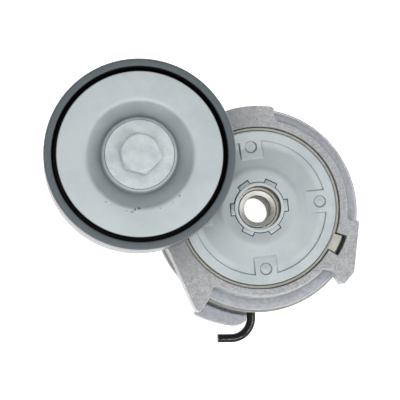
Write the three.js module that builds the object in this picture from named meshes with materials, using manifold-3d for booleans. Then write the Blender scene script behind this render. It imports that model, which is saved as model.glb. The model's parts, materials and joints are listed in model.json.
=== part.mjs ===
// Automatic belt tensioner with a flat-backed idler pulley.
// Millimetres, +Z towards the pulley side. The origin is on the pivot axis, on the rear mounting face.
import * as THREE from "three";
import { mergeVertices } from "three/addons/utils/BufferGeometryUtils.js";
import Module from "manifold-3d";

const wasm = await Module();
wasm.setup();

const GAP = 0.3; // clearance between pieces that touch
const BIG_SEGMENTS = 40; // facets round the large rings
const SMALL_SEGMENTS = 24; // facets round the hub and bearing pieces
const RIGHT = Math.PI / 2;

// Pulley axis, as seen from the pivot axis
const ARM_LENGTH = 56.5;
const ARM_ANGLE = THREE.MathUtils.degToRad(159);
const PULLEY_X = ARM_LENGTH * Math.cos(ARM_ANGLE);
const PULLEY_Y = ARM_LENGTH * Math.sin(ARM_ANGLE);

// Base housing: a shallow cup behind the arm
const BASE_R = 44.4;
const BASE_WALL = 3;
const BASE_TOP = 17;
const PAD_R = 24;
const PAD_HEIGHT = 2.5;
const FLOOR_TOP = 6.5;
const LOCATING_HOLE = { x: -17.5, y: -8, r: 4.1 };
const FOOT_R = 47; // foot under the stop finger
const FOOT_ANGLES = [236, 266.5];
const FOOT_BOTTOM = 1;
const FOOT_TOP = 5.4;

// Pivot tube and the collar pressed over its front end
const TUBE_R = 8.1;
const TUBE_BORE_R = 5.9;
const TUBE_RELIEF_R = 6.9;
const NECK_BOTTOM = 10;
const TUBE_TOP = 24.8;
const COUNTERSINK_BOTTOM = 20.5;
const COLLAR_R = 10.9;
const COLLAR_BORE_R = 9.3;
const COLLAR_BOTTOM = 22;
const COLLAR_TOP = 32.2;
const LUG_COUNT = 6;
const LUG_R = 12.4;
const LUG_WIDTH = 5;
const LUG_ANGLE = THREE.MathUtils.degToRad(4.5);

// Front plate
const PLATE_R = 33.5;
const PLATE_TOP = 31.2;
const PLATE_THICKNESS = 2;
const STEP_R = 29.5;
const STEP_DEPTH = 0.8;
const PLATE_PADS = [97, 5.7, -84.5, -173];
const PLATE_PAD_WIDTH = 9.6;
const PLATE_PAD_INNER_R = 21.4;

// Arm casting
const ARM_TOP = 32;
const RING_R = 35.2;
const BAND_R = 38.3;
const SHELF_TOP = 26.7;
const WEB_BOTTOM = 22.7;
const SHOULDER_R = 44.2;
const SHOULDER_TOP = 22.4;
const SKIRT_BOTTOM = 18.5;
const SKIRT_BORE_R = 41.8;
const LUG_ARC_R = 44.4;
const ARM_HUB_R = 14.5;
const ARM_HUB_BOTTOM = 9;
const BEAM_BOTTOM = 19.5;
const BOSS_R = 12.5;
const BOSS_TOP = 39.4;
const NOSE_R = 8.2;
const NOSE_TOP = 51;
const TAB_ANGLES = [-31.2, -19.3];
const TAB_R = 38;
const NOTCH_R = 39.9;
const NOTCH_BOTTOM = 24;
const LIP_TOP = 30; // top of the friction ring in the gap round the plate

// Stop finger, which lies outside the base wall and leans on the locking pin
const FINGER_INNER_R = 46.2;
const FINGER_ROOT_R = 53;
const FINGER_TIP_R = 51;
const FINGER_TIP_ROUND = 2.4;
const FINGER_ANGLES = [238.6, 264.7];
const ROOT_ANGLES = [236.8, 240.4];
const ROOT_OUTER_R = 50.8;
const FINGER_BOTTOM = 6;
const FINGER_TOP = 14.4;

// Locking pin: an L of hexagonal rod
const PIN_ACROSS_FLATS = 3.45;
const PIN_X = -2;
const PIN_Z = 10.2;
const PIN_INNER_Y = -39;
const PIN_BEND_Y = -46.9;
const PIN_BEND_R = 8.9;
const PIN_END_X = -17.2;
const PIN_HOLE_R = 2.4;

// Torsion spring
const SPRING_R = 29;
const SPRING_WIRE_R = 2.2;
const SPRING_START_Z = 9.3;
const SPRING_PITCH = 4.8;
const SPRING_TURNS = 2.2;

// Idler pulley and the pieces on its bolt
const PULLEY_R = 40;
const PULLEY_REAR = 34;
const PULLEY_FRONT = 60.5;
const RIM_INNER_R = 36.7;
const PULLEY_HUB_R = 24.5;
const SNAP_GROOVE_R = 21.7;
const SHIELD_R = 34.7;
const SHIELD_FLAT_R = 23.3;
const SHIELD_SEAT_R = 15.9;
const SHIELD_TOP = 60;
const SHIELD_THICKNESS = 1;
const WASHER_R = 15.6;
const WASHER_THICKNESS = 2.8;
const HEX_ACROSS_FLATS = 16;
const HEX_HEIGHT = 6.2;
const BOLT_R = 5;
const BOLT_BOTTOM = 24;

// Deep-groove ball bearing, 17 x 40 x 12
const BEARING_BORE_R = 8.5;
const BEARING_R = 20;
const BEARING_WIDTH = 12;
const BEARING_REAR = 41;
const BEARING_MIDDLE = BEARING_REAR + BEARING_WIDTH / 2;
const BEARING_FRONT = BEARING_REAR + BEARING_WIDTH;
const INNER_RING_R = 12.1;
const OUTER_RING_BORE_R = 16.4;
const BALL_COUNT = 8;
const BALL_R = 3.3;
const BALL_CIRCLE_R = (INNER_RING_R + OUTER_RING_BORE_R) / 2;
const GROOVE_R = BALL_R + 0.12;

const finishes = {
  cast: new THREE.MeshStandardMaterial({ color: 0xa8aeb2, roughness: 0.6, metalness: 0.8 }),
  zinc: new THREE.MeshStandardMaterial({ color: 0xc0cccd, roughness: 0.4, metalness: 0.7 }),
  tube: new THREE.MeshStandardMaterial({ color: 0x8c8778, roughness: 0.4, metalness: 0.9 }),
  steel: new THREE.MeshStandardMaterial({ color: 0xb9bcbf, roughness: 0.25, metalness: 1 }),
  nylon: new THREE.MeshStandardMaterial({ color: 0xcdc8b9, roughness: 0.6, metalness: 0 }),
  rim: new THREE.MeshStandardMaterial({ color: 0x5d676c, roughness: 0.4, metalness: 0.3 }),
  rubber: new THREE.MeshStandardMaterial({ color: 0x1b1b1c, roughness: 0.7, metalness: 0 }),
  black: new THREE.MeshStandardMaterial({ color: 0x1c1c1e, roughness: 0.35, metalness: 0.6 }),
};

// A closed three.js geometry as a manifold-3d solid.
function solid(geometry) {
  const bare = geometry.clone();
  bare.deleteAttribute("normal");
  bare.deleteAttribute("uv");
  const merged = mergeVertices(bare, 1e-4);
  return new wasm.Manifold(
    new wasm.Mesh({
      numProp: 3,
      vertProperties: new Float32Array(merged.attributes.position.array),
      triVerts: new Uint32Array(merged.index.array),
    }),
  );
}

// A solid of revolution about Z; the profile is a closed list of [r, z], anticlockwise.
function turned(profile, segments = SMALL_SEGMENTS) {
  const points = [...profile, profile[0]].map(([r, z]) => new THREE.Vector2(r, z));
  return solid(new THREE.LatheGeometry(points, segments).rotateX(RIGHT));
}

function ring(innerR, outerR, bottom, top, segments = SMALL_SEGMENTS) {
  return turned([[innerR, bottom], [outerR, bottom], [outerR, top], [innerR, top]], segments);
}

// A plain disc or rod about an axis parallel to Z.
function disc(r, bottom, top, x = 0, y = 0, segments = SMALL_SEGMENTS) {
  const geometry = new THREE.CylinderGeometry(r, r, top - bottom, segments).rotateX(RIGHT);
  return solid(geometry.translate(x, y, (top + bottom) / 2));
}

// A flat outline between two heights.
function slab(shape, bottom, top, curveSegments = 12) {
  const settings = { depth: top - bottom, bevelEnabled: false, curveSegments };
  return solid(new THREE.ExtrudeGeometry(shape, settings).translate(0, 0, bottom));
}

function block(width, length, bottom, top, x = 0, y = 0, angle = 0) {
  const geometry = new THREE.BoxGeometry(width, length, top - bottom);
  return solid(geometry.translate(x, y, (top + bottom) / 2).rotateZ(angle));
}

// An outline through [x, y, corner radius] points, with its corners rounded.
function roundedShape(points) {
  const shape = new THREE.Shape();
  points.forEach(([x, y, radius = 0], i) => {
    const corner = new THREE.Vector2(x, y);
    const before = new THREE.Vector2(...points.at(i - 1));
    const after = new THREE.Vector2(...points[(i + 1) % points.length]);
    const start = corner.clone().add(before.sub(corner).setLength(radius));
    const end = corner.clone().add(after.sub(corner).setLength(radius));
    if (i === 0) shape.moveTo(start.x, start.y);
    else shape.lineTo(start.x, start.y);
    if (radius > 0) shape.quadraticCurveTo(x, y, end.x, end.y);
  });
  shape.closePath();
  return shape;
}

// A stretch of flat ring. outerR may change along it to endR, and its far end may be rounded off.
function sector(innerR, outerR, degrees, endR = outerR, endRound = 0) {
  const steps = 12;
  const [from, to] = degrees.map(THREE.MathUtils.degToRad);
  const shape = new THREE.Shape();
  for (let i = 0; i <= steps; i += 1) {
    const angle = from + ((to - from) * i) / steps;
    const rounding = endRound * Math.max(0, (i / steps - 0.75) / 0.25) ** 2;
    const r = outerR + ((endR - outerR) * i) / steps - rounding;
    if (i === 0) shape.moveTo(r * Math.cos(angle), r * Math.sin(angle));
    else shape.lineTo(r * Math.cos(angle), r * Math.sin(angle));
  }
  for (let i = steps; i >= 0; i -= 1) {
    const angle = from + ((to - from) * i) / steps;
    shape.lineTo(innerR * Math.cos(angle), innerR * Math.sin(angle));
  }
  shape.closePath();
  return shape;
}

const tensioner = new THREE.Group();
const pulleyGroup = new THREE.Group();
pulleyGroup.position.set(PULLEY_X, PULLEY_Y, 0);
tensioner.add(pulleyGroup);

// Adds a named sub-part to the assembly, or to the group on the pulley axis.
function piece(name, body, material, parent = tensioner) {
  const made = body.getMesh();
  const geometry = new THREE.BufferGeometry();
  geometry.setAttribute("position", new THREE.BufferAttribute(made.vertProperties, 3));
  geometry.setIndex(new THREE.BufferAttribute(made.triVerts, 1));
  geometry.computeVertexNormals();
  const mesh = new THREE.Mesh(geometry, material);
  mesh.name = name;
  parent.add(mesh);
}

function baseHousing() {
  const cup = turned(
    [
      [TUBE_R + GAP, 0],
      [PAD_R, 0],
      [PAD_R + 1, PAD_HEIGHT],
      [BASE_R - 3, PAD_HEIGHT],
      [BASE_R, PAD_HEIGHT + 3],
      [BASE_R, BASE_TOP],
      [BASE_R - BASE_WALL, BASE_TOP],
      [BASE_R - BASE_WALL, FLOOR_TOP],
      [TUBE_R + GAP, FLOOR_TOP],
    ],
    BIG_SEGMENTS,
  );
  const bossInner = 37;
  const bossLength = BASE_R - 1 - bossInner;
  const boss = block(9, bossLength, FLOOR_TOP - 1, BASE_TOP - 0.7, PIN_X, -bossInner - bossLength / 2);
  const bore = new THREE.CylinderGeometry(PIN_HOLE_R, PIN_HOLE_R, 16, 16);
  const hole = solid(bore.translate(PIN_X, -BASE_R + 3, PIN_Z));
  const locating = disc(
    LOCATING_HOLE.r, -1, FLOOR_TOP + 1, LOCATING_HOLE.x, LOCATING_HOLE.y,
  );
  const foot = slab(sector(BASE_R - 5, FOOT_R, FOOT_ANGLES), FOOT_BOTTOM, FOOT_TOP);
  return cup.add(boss).add(foot).subtract(hole).subtract(locating);
}

function pivotTube() {
  return turned([
    [TUBE_RELIEF_R, 0],
    [TUBE_R, 0],
    [TUBE_R, TUBE_TOP],
    [TUBE_R - 0.5, TUBE_TOP],
    [TUBE_BORE_R, COUNTERSINK_BOTTOM],
    [TUBE_BORE_R, NECK_BOTTOM],
    [TUBE_RELIEF_R, NECK_BOTTOM - 1],
  ]);
}

function hubCollar() {
  let collar = turned([
    [TUBE_R + GAP, COLLAR_BOTTOM],
    [COLLAR_R, COLLAR_BOTTOM],
    [COLLAR_R, COLLAR_TOP],
    [COLLAR_BORE_R, COLLAR_TOP],
    [COLLAR_BORE_R, TUBE_TOP],
    [TUBE_R + GAP, TUBE_TOP],
  ]);
  const middle = (COLLAR_BORE_R + 0.5 + LUG_R) / 2;
  for (let i = 0; i < LUG_COUNT; i += 1) {
    const angle = LUG_ANGLE + (i * 2 * Math.PI) / LUG_COUNT;
    const length = LUG_R - COLLAR_BORE_R - 0.5;
    collar = collar.add(block(length, LUG_WIDTH, 30.4, COLLAR_TOP - 0.3, middle, 0, angle));
  }
  return collar;
}

function frontPlate() {
  const field = PLATE_TOP - STEP_DEPTH;
  const hubTop = COLLAR_TOP - 0.6;
  const holeR = COLLAR_R + GAP;
  let plate = turned(
    [
      [holeR, hubTop - PLATE_THICKNESS],
      [15, hubTop - PLATE_THICKNESS],
      [23, field - PLATE_THICKNESS],
      [PLATE_R, field - PLATE_THICKNESS],
      [PLATE_R, PLATE_TOP],
      [STEP_R, PLATE_TOP],
      [STEP_R, field],
      [23, field],
      [15, hubTop],
      [holeR, hubTop],
    ],
    BIG_SEGMENTS,
  );
  const padLength = STEP_R + 1 - PLATE_PAD_INNER_R;
  const padMiddle = PLATE_PAD_INNER_R + padLength / 2;
  for (const degrees of PLATE_PADS) {
    const angle = THREE.MathUtils.degToRad(degrees);
    plate = plate.add(
      block(padLength, PLATE_PAD_WIDTH, field - 0.5, PLATE_TOP, padMiddle, 0, angle),
    );
  }
  const notchLength = LUG_R + GAP - COLLAR_R + 1;
  for (let i = 0; i < LUG_COUNT; i += 1) {
    const angle = LUG_ANGLE + (i * 2 * Math.PI) / LUG_COUNT;
    const middle = LUG_R + GAP - notchLength / 2;
    plate = plate.subtract(block(notchLength, LUG_WIDTH + 2 * GAP, 28, 34, middle, 0, angle));
  }
  return plate;
}

function torsionSpring() {
  class Helix extends THREE.Curve {
    getPoint(t, target = new THREE.Vector3()) {
      const angle = t * SPRING_TURNS * 2 * Math.PI;
      const z = SPRING_START_Z + t * SPRING_TURNS * SPRING_PITCH;
      return target.set(SPRING_R * Math.cos(angle), SPRING_R * Math.sin(angle), z);
    }
  }
  const wire = new THREE.Shape().absarc(0, 0, SPRING_WIRE_R, 0, 2 * Math.PI);
  const steps = Math.round(SPRING_TURNS * 20);
  const settings = { extrudePath: new Helix(), steps, curveSegments: 4 };
  return solid(new THREE.ExtrudeGeometry(wire, settings));
}

// The raised front level of the casting: three lugs round the ring, and the beam to the pulley boss.
function armLugs() {
  const topLug = new THREE.Shape();
  topLug.moveTo(-30, 26);
  topLug.lineTo(8, 30);
  topLug.lineTo(13, 35.6);
  topLug.quadraticCurveTo(6.6, 37.2, 6.9, 41);
  topLug.lineTo(7.2, 42.6);
  topLug.quadraticCurveTo(7.3, 43.8, 5.6, Math.sqrt(LUG_ARC_R ** 2 - 5.6 ** 2));
  topLug.absarc(0, 0, LUG_ARC_R, Math.acos(5.6 / LUG_ARC_R), THREE.MathUtils.degToRad(122), false);
  topLug.closePath();
  const rightLug = roundedShape([
    [32, -6],
    [37.6, -1],
    [38.5, -6, 2.2],
    [43.7, -5.7, 1],
    [40.9, -28.3, 1.2],
    [35.8, -34.2, 1.2],
    [32, -27.4, 2.5],
    [26.5, -26.6],
  ]);
  const lowerLug = roundedShape([
    [-15, -34.6],
    [-20.2, -33.8, 1.5],
    [-22.8, -40, 0.8],
    [-26.5, -45.4, 1],
    [-28.8, -42.5, 1],
    [-38.8, -19.6],
    [-46, -6, 8],
    [-64, 12],
    [PULLEY_X, PULLEY_Y],
    [-48, 31.7],
    [-23.5, 37.6],
    [-30, 20],
    [-33, -16],
  ]);
  const shapes = [topLug, rightLug, lowerLug];
  return shapes.map((shape) => slab(shape, BEAM_BOTTOM, ARM_TOP)).reduce((a, b) => a.add(b));
}

function armFinger() {
  const finger = slab(
    sector(FINGER_INNER_R, FINGER_ROOT_R, FINGER_ANGLES, FINGER_TIP_R, FINGER_TIP_ROUND),
    FINGER_BOTTOM,
    FINGER_TOP,
  );
  const top = BEAM_BOTTOM + 3;
  const root = slab(sector(FINGER_INNER_R, ROOT_OUTER_R, ROOT_ANGLES), FINGER_BOTTOM, top);
  const neck = slab(sector(SHOULDER_R - 2, ROOT_OUTER_R, ROOT_ANGLES), SKIRT_BOTTOM, top);
  return finger.add(root).add(neck);
}

function armCasting() {
  const shell = turned(
    [
      [0, SKIRT_BOTTOM],
      [SHOULDER_R - 0.6, SKIRT_BOTTOM],
      [SHOULDER_R, SHOULDER_TOP - 1.6],
      [SHOULDER_R - 0.5, SHOULDER_TOP - 0.5],
      [SHOULDER_R - 1.7, SHOULDER_TOP],
      [BAND_R + 2, SHOULDER_TOP + 0.4],
      [BAND_R + 0.6, SHOULDER_TOP + 1.8],
      [BAND_R, ARM_TOP],
      [0, ARM_TOP],
    ],
    BIG_SEGMENTS,
  );
  const boss = disc(BOSS_R, BEAM_BOTTOM - 3, BOSS_TOP, PULLEY_X, PULLEY_Y);
  const nose = disc(NOSE_R, BOSS_TOP - 1, NOSE_TOP, PULLEY_X, PULLEY_Y);
  const outside = shell.add(armLugs()).add(boss).add(nose).add(armFinger());
  const cavity = turned(
    [
      [COLLAR_R + GAP, 0],
      [FINGER_INNER_R - 0.2, 0],
      [FINGER_INNER_R - 0.2, SKIRT_BOTTOM],
      [SKIRT_BORE_R, SKIRT_BOTTOM],
      [SKIRT_BORE_R, 20],
      [RING_R, 20.8],
      [RING_R, WEB_BOTTOM],
      [ARM_HUB_R, WEB_BOTTOM],
      [ARM_HUB_R, ARM_HUB_BOTTOM],
      [COLLAR_R + GAP, ARM_HUB_BOTTOM],
    ],
    BIG_SEGMENTS,
  );
  const recess = disc(RING_R, SHELF_TOP, ARM_TOP + 2, 0, 0, BIG_SEGMENTS);
  const hubFill = ring(COLLAR_R + GAP, ARM_HUB_R, ARM_HUB_BOTTOM, WEB_BOTTOM + 1, BIG_SEGMENTS);
  const hubBore = disc(COLLAR_R + GAP, 0, ARM_TOP + 2, 0, 0);
  const notchAngles = [TAB_ANGLES[0] - 0.7, TAB_ANGLES[1] + 1];
  const notch = slab(sector(RING_R - 1, NOTCH_R, notchAngles), NOTCH_BOTTOM, ARM_TOP + 2);
  const boltHole = disc(BOLT_R + GAP, BOLT_BOTTOM - 1, NOSE_TOP + 2, PULLEY_X, PULLEY_Y);
  return outside
    .subtract(cavity)
    .subtract(recess)
    .add(hubFill)
    .subtract(hubBore)
    .subtract(notch)
    .subtract(boltHole);
}

function frictionRing() {
  const lip = turned(
    [
      [PLATE_R - 3, SHELF_TOP + GAP],
      [RING_R - GAP, SHELF_TOP + GAP],
      [RING_R - GAP, LIP_TOP],
      [PLATE_R + GAP, LIP_TOP],
      [PLATE_R + GAP, PLATE_TOP - STEP_DEPTH - PLATE_THICKNESS - GAP],
      [PLATE_R - 3, PLATE_TOP - STEP_DEPTH - PLATE_THICKNESS - GAP],
    ],
    BIG_SEGMENTS,
  );
  const tab = slab(sector(RING_R - 1, TAB_R, TAB_ANGLES), SHELF_TOP + GAP, PLATE_TOP);
  return lip.add(tab);
}

function lockingPin() {
  const cornerR = PIN_ACROSS_FLATS / Math.sqrt(3);
  const section = new THREE.Shape();
  for (let i = 0; i < 6; i += 1) {
    const angle = (i * Math.PI) / 3;
    if (i === 0) section.moveTo(cornerR * Math.cos(angle), cornerR * Math.sin(angle));
    else section.lineTo(cornerR * Math.cos(angle), cornerR * Math.sin(angle));
  }
  section.closePath();
  const at = (x, y) => new THREE.Vector3(x, y, PIN_Z);
  const centre = new THREE.Vector2(PIN_X - PIN_BEND_R, PIN_BEND_Y);
  const route = new THREE.CurvePath();
  route.add(new THREE.LineCurve3(at(PIN_X, PIN_INNER_Y), at(PIN_X, PIN_BEND_Y)));
  class Bend extends THREE.Curve {
    getPoint(t, target = new THREE.Vector3()) {
      const angle = -t * RIGHT;
      const x = centre.x + PIN_BEND_R * Math.cos(angle);
      return target.set(x, centre.y + PIN_BEND_R * Math.sin(angle), PIN_Z);
    }
  }
  route.add(new Bend());
  const lowY = PIN_BEND_Y - PIN_BEND_R;
  route.add(new THREE.LineCurve3(at(centre.x, lowY), at(PIN_END_X, lowY)));
  return solid(new THREE.ExtrudeGeometry(section, { extrudePath: route, steps: 36 }));
}

function pulleyRim() {
  const hubRear = BEARING_REAR - GAP - 1.2;
  const boreR = BEARING_R + GAP;
  const rim = turned(
    [
      [boreR - 1.5, hubRear],
      [PULLEY_HUB_R, hubRear],
      [PULLEY_HUB_R, BEARING_MIDDLE - 2],
      [RIM_INNER_R, BEARING_MIDDLE - 2],
      [RIM_INNER_R, PULLEY_REAR + 1],
      [RIM_INNER_R + 0.8, PULLEY_REAR],
      [PULLEY_R - 1, PULLEY_REAR],
      [PULLEY_R, PULLEY_REAR + 1],
      [PULLEY_R, PULLEY_FRONT - 1],
      [PULLEY_R - 1, PULLEY_FRONT],
      [RIM_INNER_R + 0.6, PULLEY_FRONT],
      [RIM_INNER_R, PULLEY_FRONT - 1],
      [RIM_INNER_R, BEARING_MIDDLE + 2],
      [PULLEY_HUB_R, BEARING_MIDDLE + 2],
      [PULLEY_HUB_R, BEARING_FRONT + 2.6],
      [boreR, BEARING_FRONT + 2.6],
      [boreR, BEARING_REAR - GAP],
      [boreR - 1.5, BEARING_REAR - GAP],
    ],
    BIG_SEGMENTS,
  );
  const groove = ring(
    boreR - 1, SNAP_GROOVE_R, BEARING_FRONT + GAP, BEARING_FRONT + 1.8, BIG_SEGMENTS,
  );
  return rim.subtract(groove);
}

// Retaining ring with a gap for fitting it.
function snapRing() {
  const bottom = BEARING_FRONT + 2 * GAP;
  const body = ring(BEARING_R - 1.6, SNAP_GROOVE_R - GAP, bottom, bottom + 0.9, BIG_SEGMENTS);
  return body.subtract(block(8, 5, bottom - 1, bottom + 2, BEARING_R, 0, RIGHT));
}

// One side of a raceway groove, as a short run of profile points.
function groovePoints(ringR, side) {
  const reach = Math.sqrt(GROOVE_R ** 2 - (ringR - BALL_CIRCLE_R) ** 2);
  const points = [];
  for (let i = 0; i <= 4; i += 1) {
    const z = side * reach * (i / 2 - 1);
    const r = BALL_CIRCLE_R + Math.sign(ringR - BALL_CIRCLE_R) * Math.sqrt(GROOVE_R ** 2 - z ** 2);
    points.push([r, BEARING_MIDDLE + z]);
  }
  return points;
}

function bearingRings() {
  piece(
    "bearing_inner_ring",
    turned([
      [BEARING_BORE_R, BEARING_REAR],
      [INNER_RING_R, BEARING_REAR],
      ...groovePoints(INNER_RING_R, 1),
      [INNER_RING_R, BEARING_FRONT],
      [BEARING_BORE_R, BEARING_FRONT],
    ]),
    finishes.steel,
    pulleyGroup,
  );
  piece(
    "bearing_outer_ring",
    turned(
      [
        [OUTER_RING_BORE_R, BEARING_REAR],
        [BEARING_R, BEARING_REAR],
        [BEARING_R, BEARING_FRONT],
        [OUTER_RING_BORE_R, BEARING_FRONT],
        ...groovePoints(OUTER_RING_BORE_R, -1),
      ],
      BIG_SEGMENTS,
    ),
    finishes.steel,
    pulleyGroup,
  );
}

function bearingBalls() {
  const pocketR = BALL_R + 0.25;
  let cage = ring(
    BALL_CIRCLE_R - 0.9, BALL_CIRCLE_R + 0.9, BEARING_MIDDLE - 4.3, BEARING_MIDDLE + 4.3,
  );
  for (let i = 0; i < BALL_COUNT; i += 1) {
    const angle = (i * 2 * Math.PI) / BALL_COUNT;
    const x = BALL_CIRCLE_R * Math.cos(angle);
    const y = BALL_CIRCLE_R * Math.sin(angle);
    const pocket = new THREE.CylinderGeometry(pocketR, pocketR, 6, 10).rotateZ(RIGHT + angle);
    cage = cage.subtract(solid(pocket.translate(x, y, BEARING_MIDDLE)));
    const ball = new THREE.SphereGeometry(BALL_R, 10, 6).translate(x, y, BEARING_MIDDLE);
    piece(`bearing_ball_${i + 1}`, solid(ball), finishes.steel, pulleyGroup);
  }
  piece("bearing_cage", cage, finishes.nylon, pulleyGroup);
}

function bearingSeals() {
  const innerR = INNER_RING_R + GAP;
  const outerR = OUTER_RING_BORE_R - GAP;
  const depth = 0.4;
  const thickness = 0.8;
  const rear = ring(innerR, outerR, BEARING_REAR + depth, BEARING_REAR + depth + thickness);
  const front = ring(innerR, outerR, BEARING_FRONT - depth - thickness, BEARING_FRONT - depth);
  piece("bearing_seal_rear", rear, finishes.rubber, pulleyGroup);
  piece("bearing_seal_front", front, finishes.rubber, pulleyGroup);
}

function frontDustShield() {
  const seat = BEARING_FRONT + GAP;
  const t = SHIELD_THICKNESS;
  return turned(
    [
      [BOLT_R + 0.5, seat],
      [SHIELD_SEAT_R, seat],
      [SHIELD_FLAT_R, SHIELD_TOP - t],
      [SHIELD_R, SHIELD_TOP - t],
      [SHIELD_R, SHIELD_TOP],
      [SHIELD_FLAT_R - 0.6, SHIELD_TOP],
      [SHIELD_SEAT_R + 0.2, seat + t],
      [BOLT_R + 0.5, seat + t],
    ],
    BIG_SEGMENTS,
  );
}

function rearDustShield() {
  const seat = BEARING_REAR - GAP;
  const t = SHIELD_THICKNESS;
  const flatZ = PULLEY_REAR + 1.2;
  return turned(
    [
      [NOSE_R + GAP, seat - t],
      [BOSS_R + 0.5, seat - t],
      [17.4, flatZ],
      [SHIELD_R, flatZ],
      [SHIELD_R, flatZ + t],
      [18, flatZ + t],
      [BOSS_R + 1.1, seat],
      [NOSE_R + GAP, seat],
    ],
    BIG_SEGMENTS,
  );
}

function boltWasher() {
  const bottom = BEARING_FRONT + 2 * GAP + SHIELD_THICKNESS;
  const top = bottom + WASHER_THICKNESS;
  return turned(
    [
      [BOLT_R + 0.5, bottom],
      [WASHER_R, bottom],
      [WASHER_R, top - 0.6],
      [WASHER_R - 0.9, top],
      [BOLT_R + 0.5, top],
    ],
    BIG_SEGMENTS,
  );
}

function pulleyBolt() {
  const headBottom = BEARING_FRONT + 3 * GAP + SHIELD_THICKNESS + WASHER_THICKNESS;
  const cornerR = HEX_ACROSS_FLATS / Math.sqrt(3);
  const hexagon = new THREE.CylinderGeometry(cornerR, cornerR, HEX_HEIGHT, 6).rotateX(RIGHT);
  const turn = THREE.MathUtils.degToRad(14.4);
  const head = solid(hexagon.rotateZ(turn).translate(0, 0, headBottom + HEX_HEIGHT / 2));
  const faceR = HEX_ACROSS_FLATS / 2 - 0.4;
  const dome = turned([
    [0, headBottom - 1],
    [cornerR + 1, headBottom - 1],
    [cornerR + 1, headBottom + HEX_HEIGHT - (cornerR + 1 - faceR) * 0.55],
    [faceR, headBottom + HEX_HEIGHT],
    [0, headBottom + HEX_HEIGHT],
  ]);
  return head.intersect(dome).add(disc(BOLT_R, BOLT_BOTTOM, headBottom + 1));
}

piece("base_housing", baseHousing(), finishes.cast);
piece("pivot_tube", pivotTube(), finishes.tube);
piece("hub_collar", hubCollar(), finishes.zinc);
piece("front_plate", frontPlate(), finishes.zinc);
piece("torsion_spring", torsionSpring(), finishes.black);
piece("thrust_washer", ring(TUBE_R + GAP, 13.5, FLOOR_TOP + GAP, 8.4), finishes.nylon);
piece(
  "rim_wear_ring",
  ring(SKIRT_BORE_R, BASE_R + 0.5, BASE_TOP + GAP, SKIRT_BOTTOM - GAP, BIG_SEGMENTS),
  finishes.nylon,
);
piece("arm_casting", armCasting(), finishes.cast);
piece("friction_ring", frictionRing(), finishes.nylon);
piece("pivot_bush", ring(TUBE_R + GAP, COLLAR_R, ARM_HUB_BOTTOM, COLLAR_BOTTOM - GAP), finishes.nylon);
piece("locking_pin", lockingPin(), finishes.black);
piece("pulley_rim", pulleyRim(), finishes.rim, pulleyGroup);
piece("snap_ring", snapRing(), finishes.steel, pulleyGroup);
bearingRings();
bearingBalls();
bearingSeals();
piece("front_dust_shield", frontDustShield(), finishes.zinc, pulleyGroup);
piece("rear_dust_shield", rearDustShield(), finishes.zinc, pulleyGroup);
piece("bolt_washer", boltWasher(), finishes.zinc, pulleyGroup);
piece("pulley_bolt", pulleyBolt(), finishes.zinc, pulleyGroup);

export default tensioner;
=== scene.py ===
# Automatic belt tensioner with a flat-backed idler pulley, lying on its back.
# Lengths are in millimetres up to the moment a mesh is made, and heights are above the mounting face.
import json
import math

import bmesh
import bpy
import numpy as np
from mathutils import Matrix, Vector, noise

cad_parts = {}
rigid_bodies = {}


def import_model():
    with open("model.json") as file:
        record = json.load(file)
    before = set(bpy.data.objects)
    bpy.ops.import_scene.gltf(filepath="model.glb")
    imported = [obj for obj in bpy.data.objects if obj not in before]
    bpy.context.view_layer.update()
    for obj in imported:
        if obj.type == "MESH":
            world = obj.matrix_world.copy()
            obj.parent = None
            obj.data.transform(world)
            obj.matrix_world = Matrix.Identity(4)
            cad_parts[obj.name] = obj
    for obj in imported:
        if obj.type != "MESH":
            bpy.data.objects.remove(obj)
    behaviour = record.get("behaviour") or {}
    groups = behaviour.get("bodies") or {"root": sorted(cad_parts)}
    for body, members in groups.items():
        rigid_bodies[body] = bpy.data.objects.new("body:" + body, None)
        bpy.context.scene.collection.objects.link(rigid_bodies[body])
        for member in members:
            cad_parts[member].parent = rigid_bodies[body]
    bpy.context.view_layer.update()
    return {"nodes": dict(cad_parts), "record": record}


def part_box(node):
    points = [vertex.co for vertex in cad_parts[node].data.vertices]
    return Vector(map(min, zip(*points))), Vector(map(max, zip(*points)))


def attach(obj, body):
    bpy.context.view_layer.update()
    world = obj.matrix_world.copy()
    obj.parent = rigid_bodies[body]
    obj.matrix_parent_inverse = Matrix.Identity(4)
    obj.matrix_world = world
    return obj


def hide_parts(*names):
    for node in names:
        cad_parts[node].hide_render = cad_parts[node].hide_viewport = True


for left_over in list(bpy.data.objects):
    bpy.data.objects.remove(left_over)
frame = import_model()

MM = 0.001
GAP = 0.3
FINEST = 256  # facets round the rings that set the outline
FINE = 192  # facets round the other large rings
MEDIUM = 96  # facets round the hub
BASE_VOXEL = 0.55
ARM_VOXEL = 0.4
CUT_TOP = 34  # above everything that is cut from the front of the arm and the plate


def node_box(node):
    """Lowest and highest corner of a CAD node, in millimetres."""
    low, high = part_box(node)
    return np.array(low) / MM, np.array(high) / MM


def node_span(node):
    """Bottom and top of a CAD node, in millimetres."""
    low, high = node_box(node)
    return low[2], high[2]


def node_radius(node):
    """Radius of a round CAD node, in millimetres."""
    low, high = node_box(node)
    return (high[0] - low[0]) / 2


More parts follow.
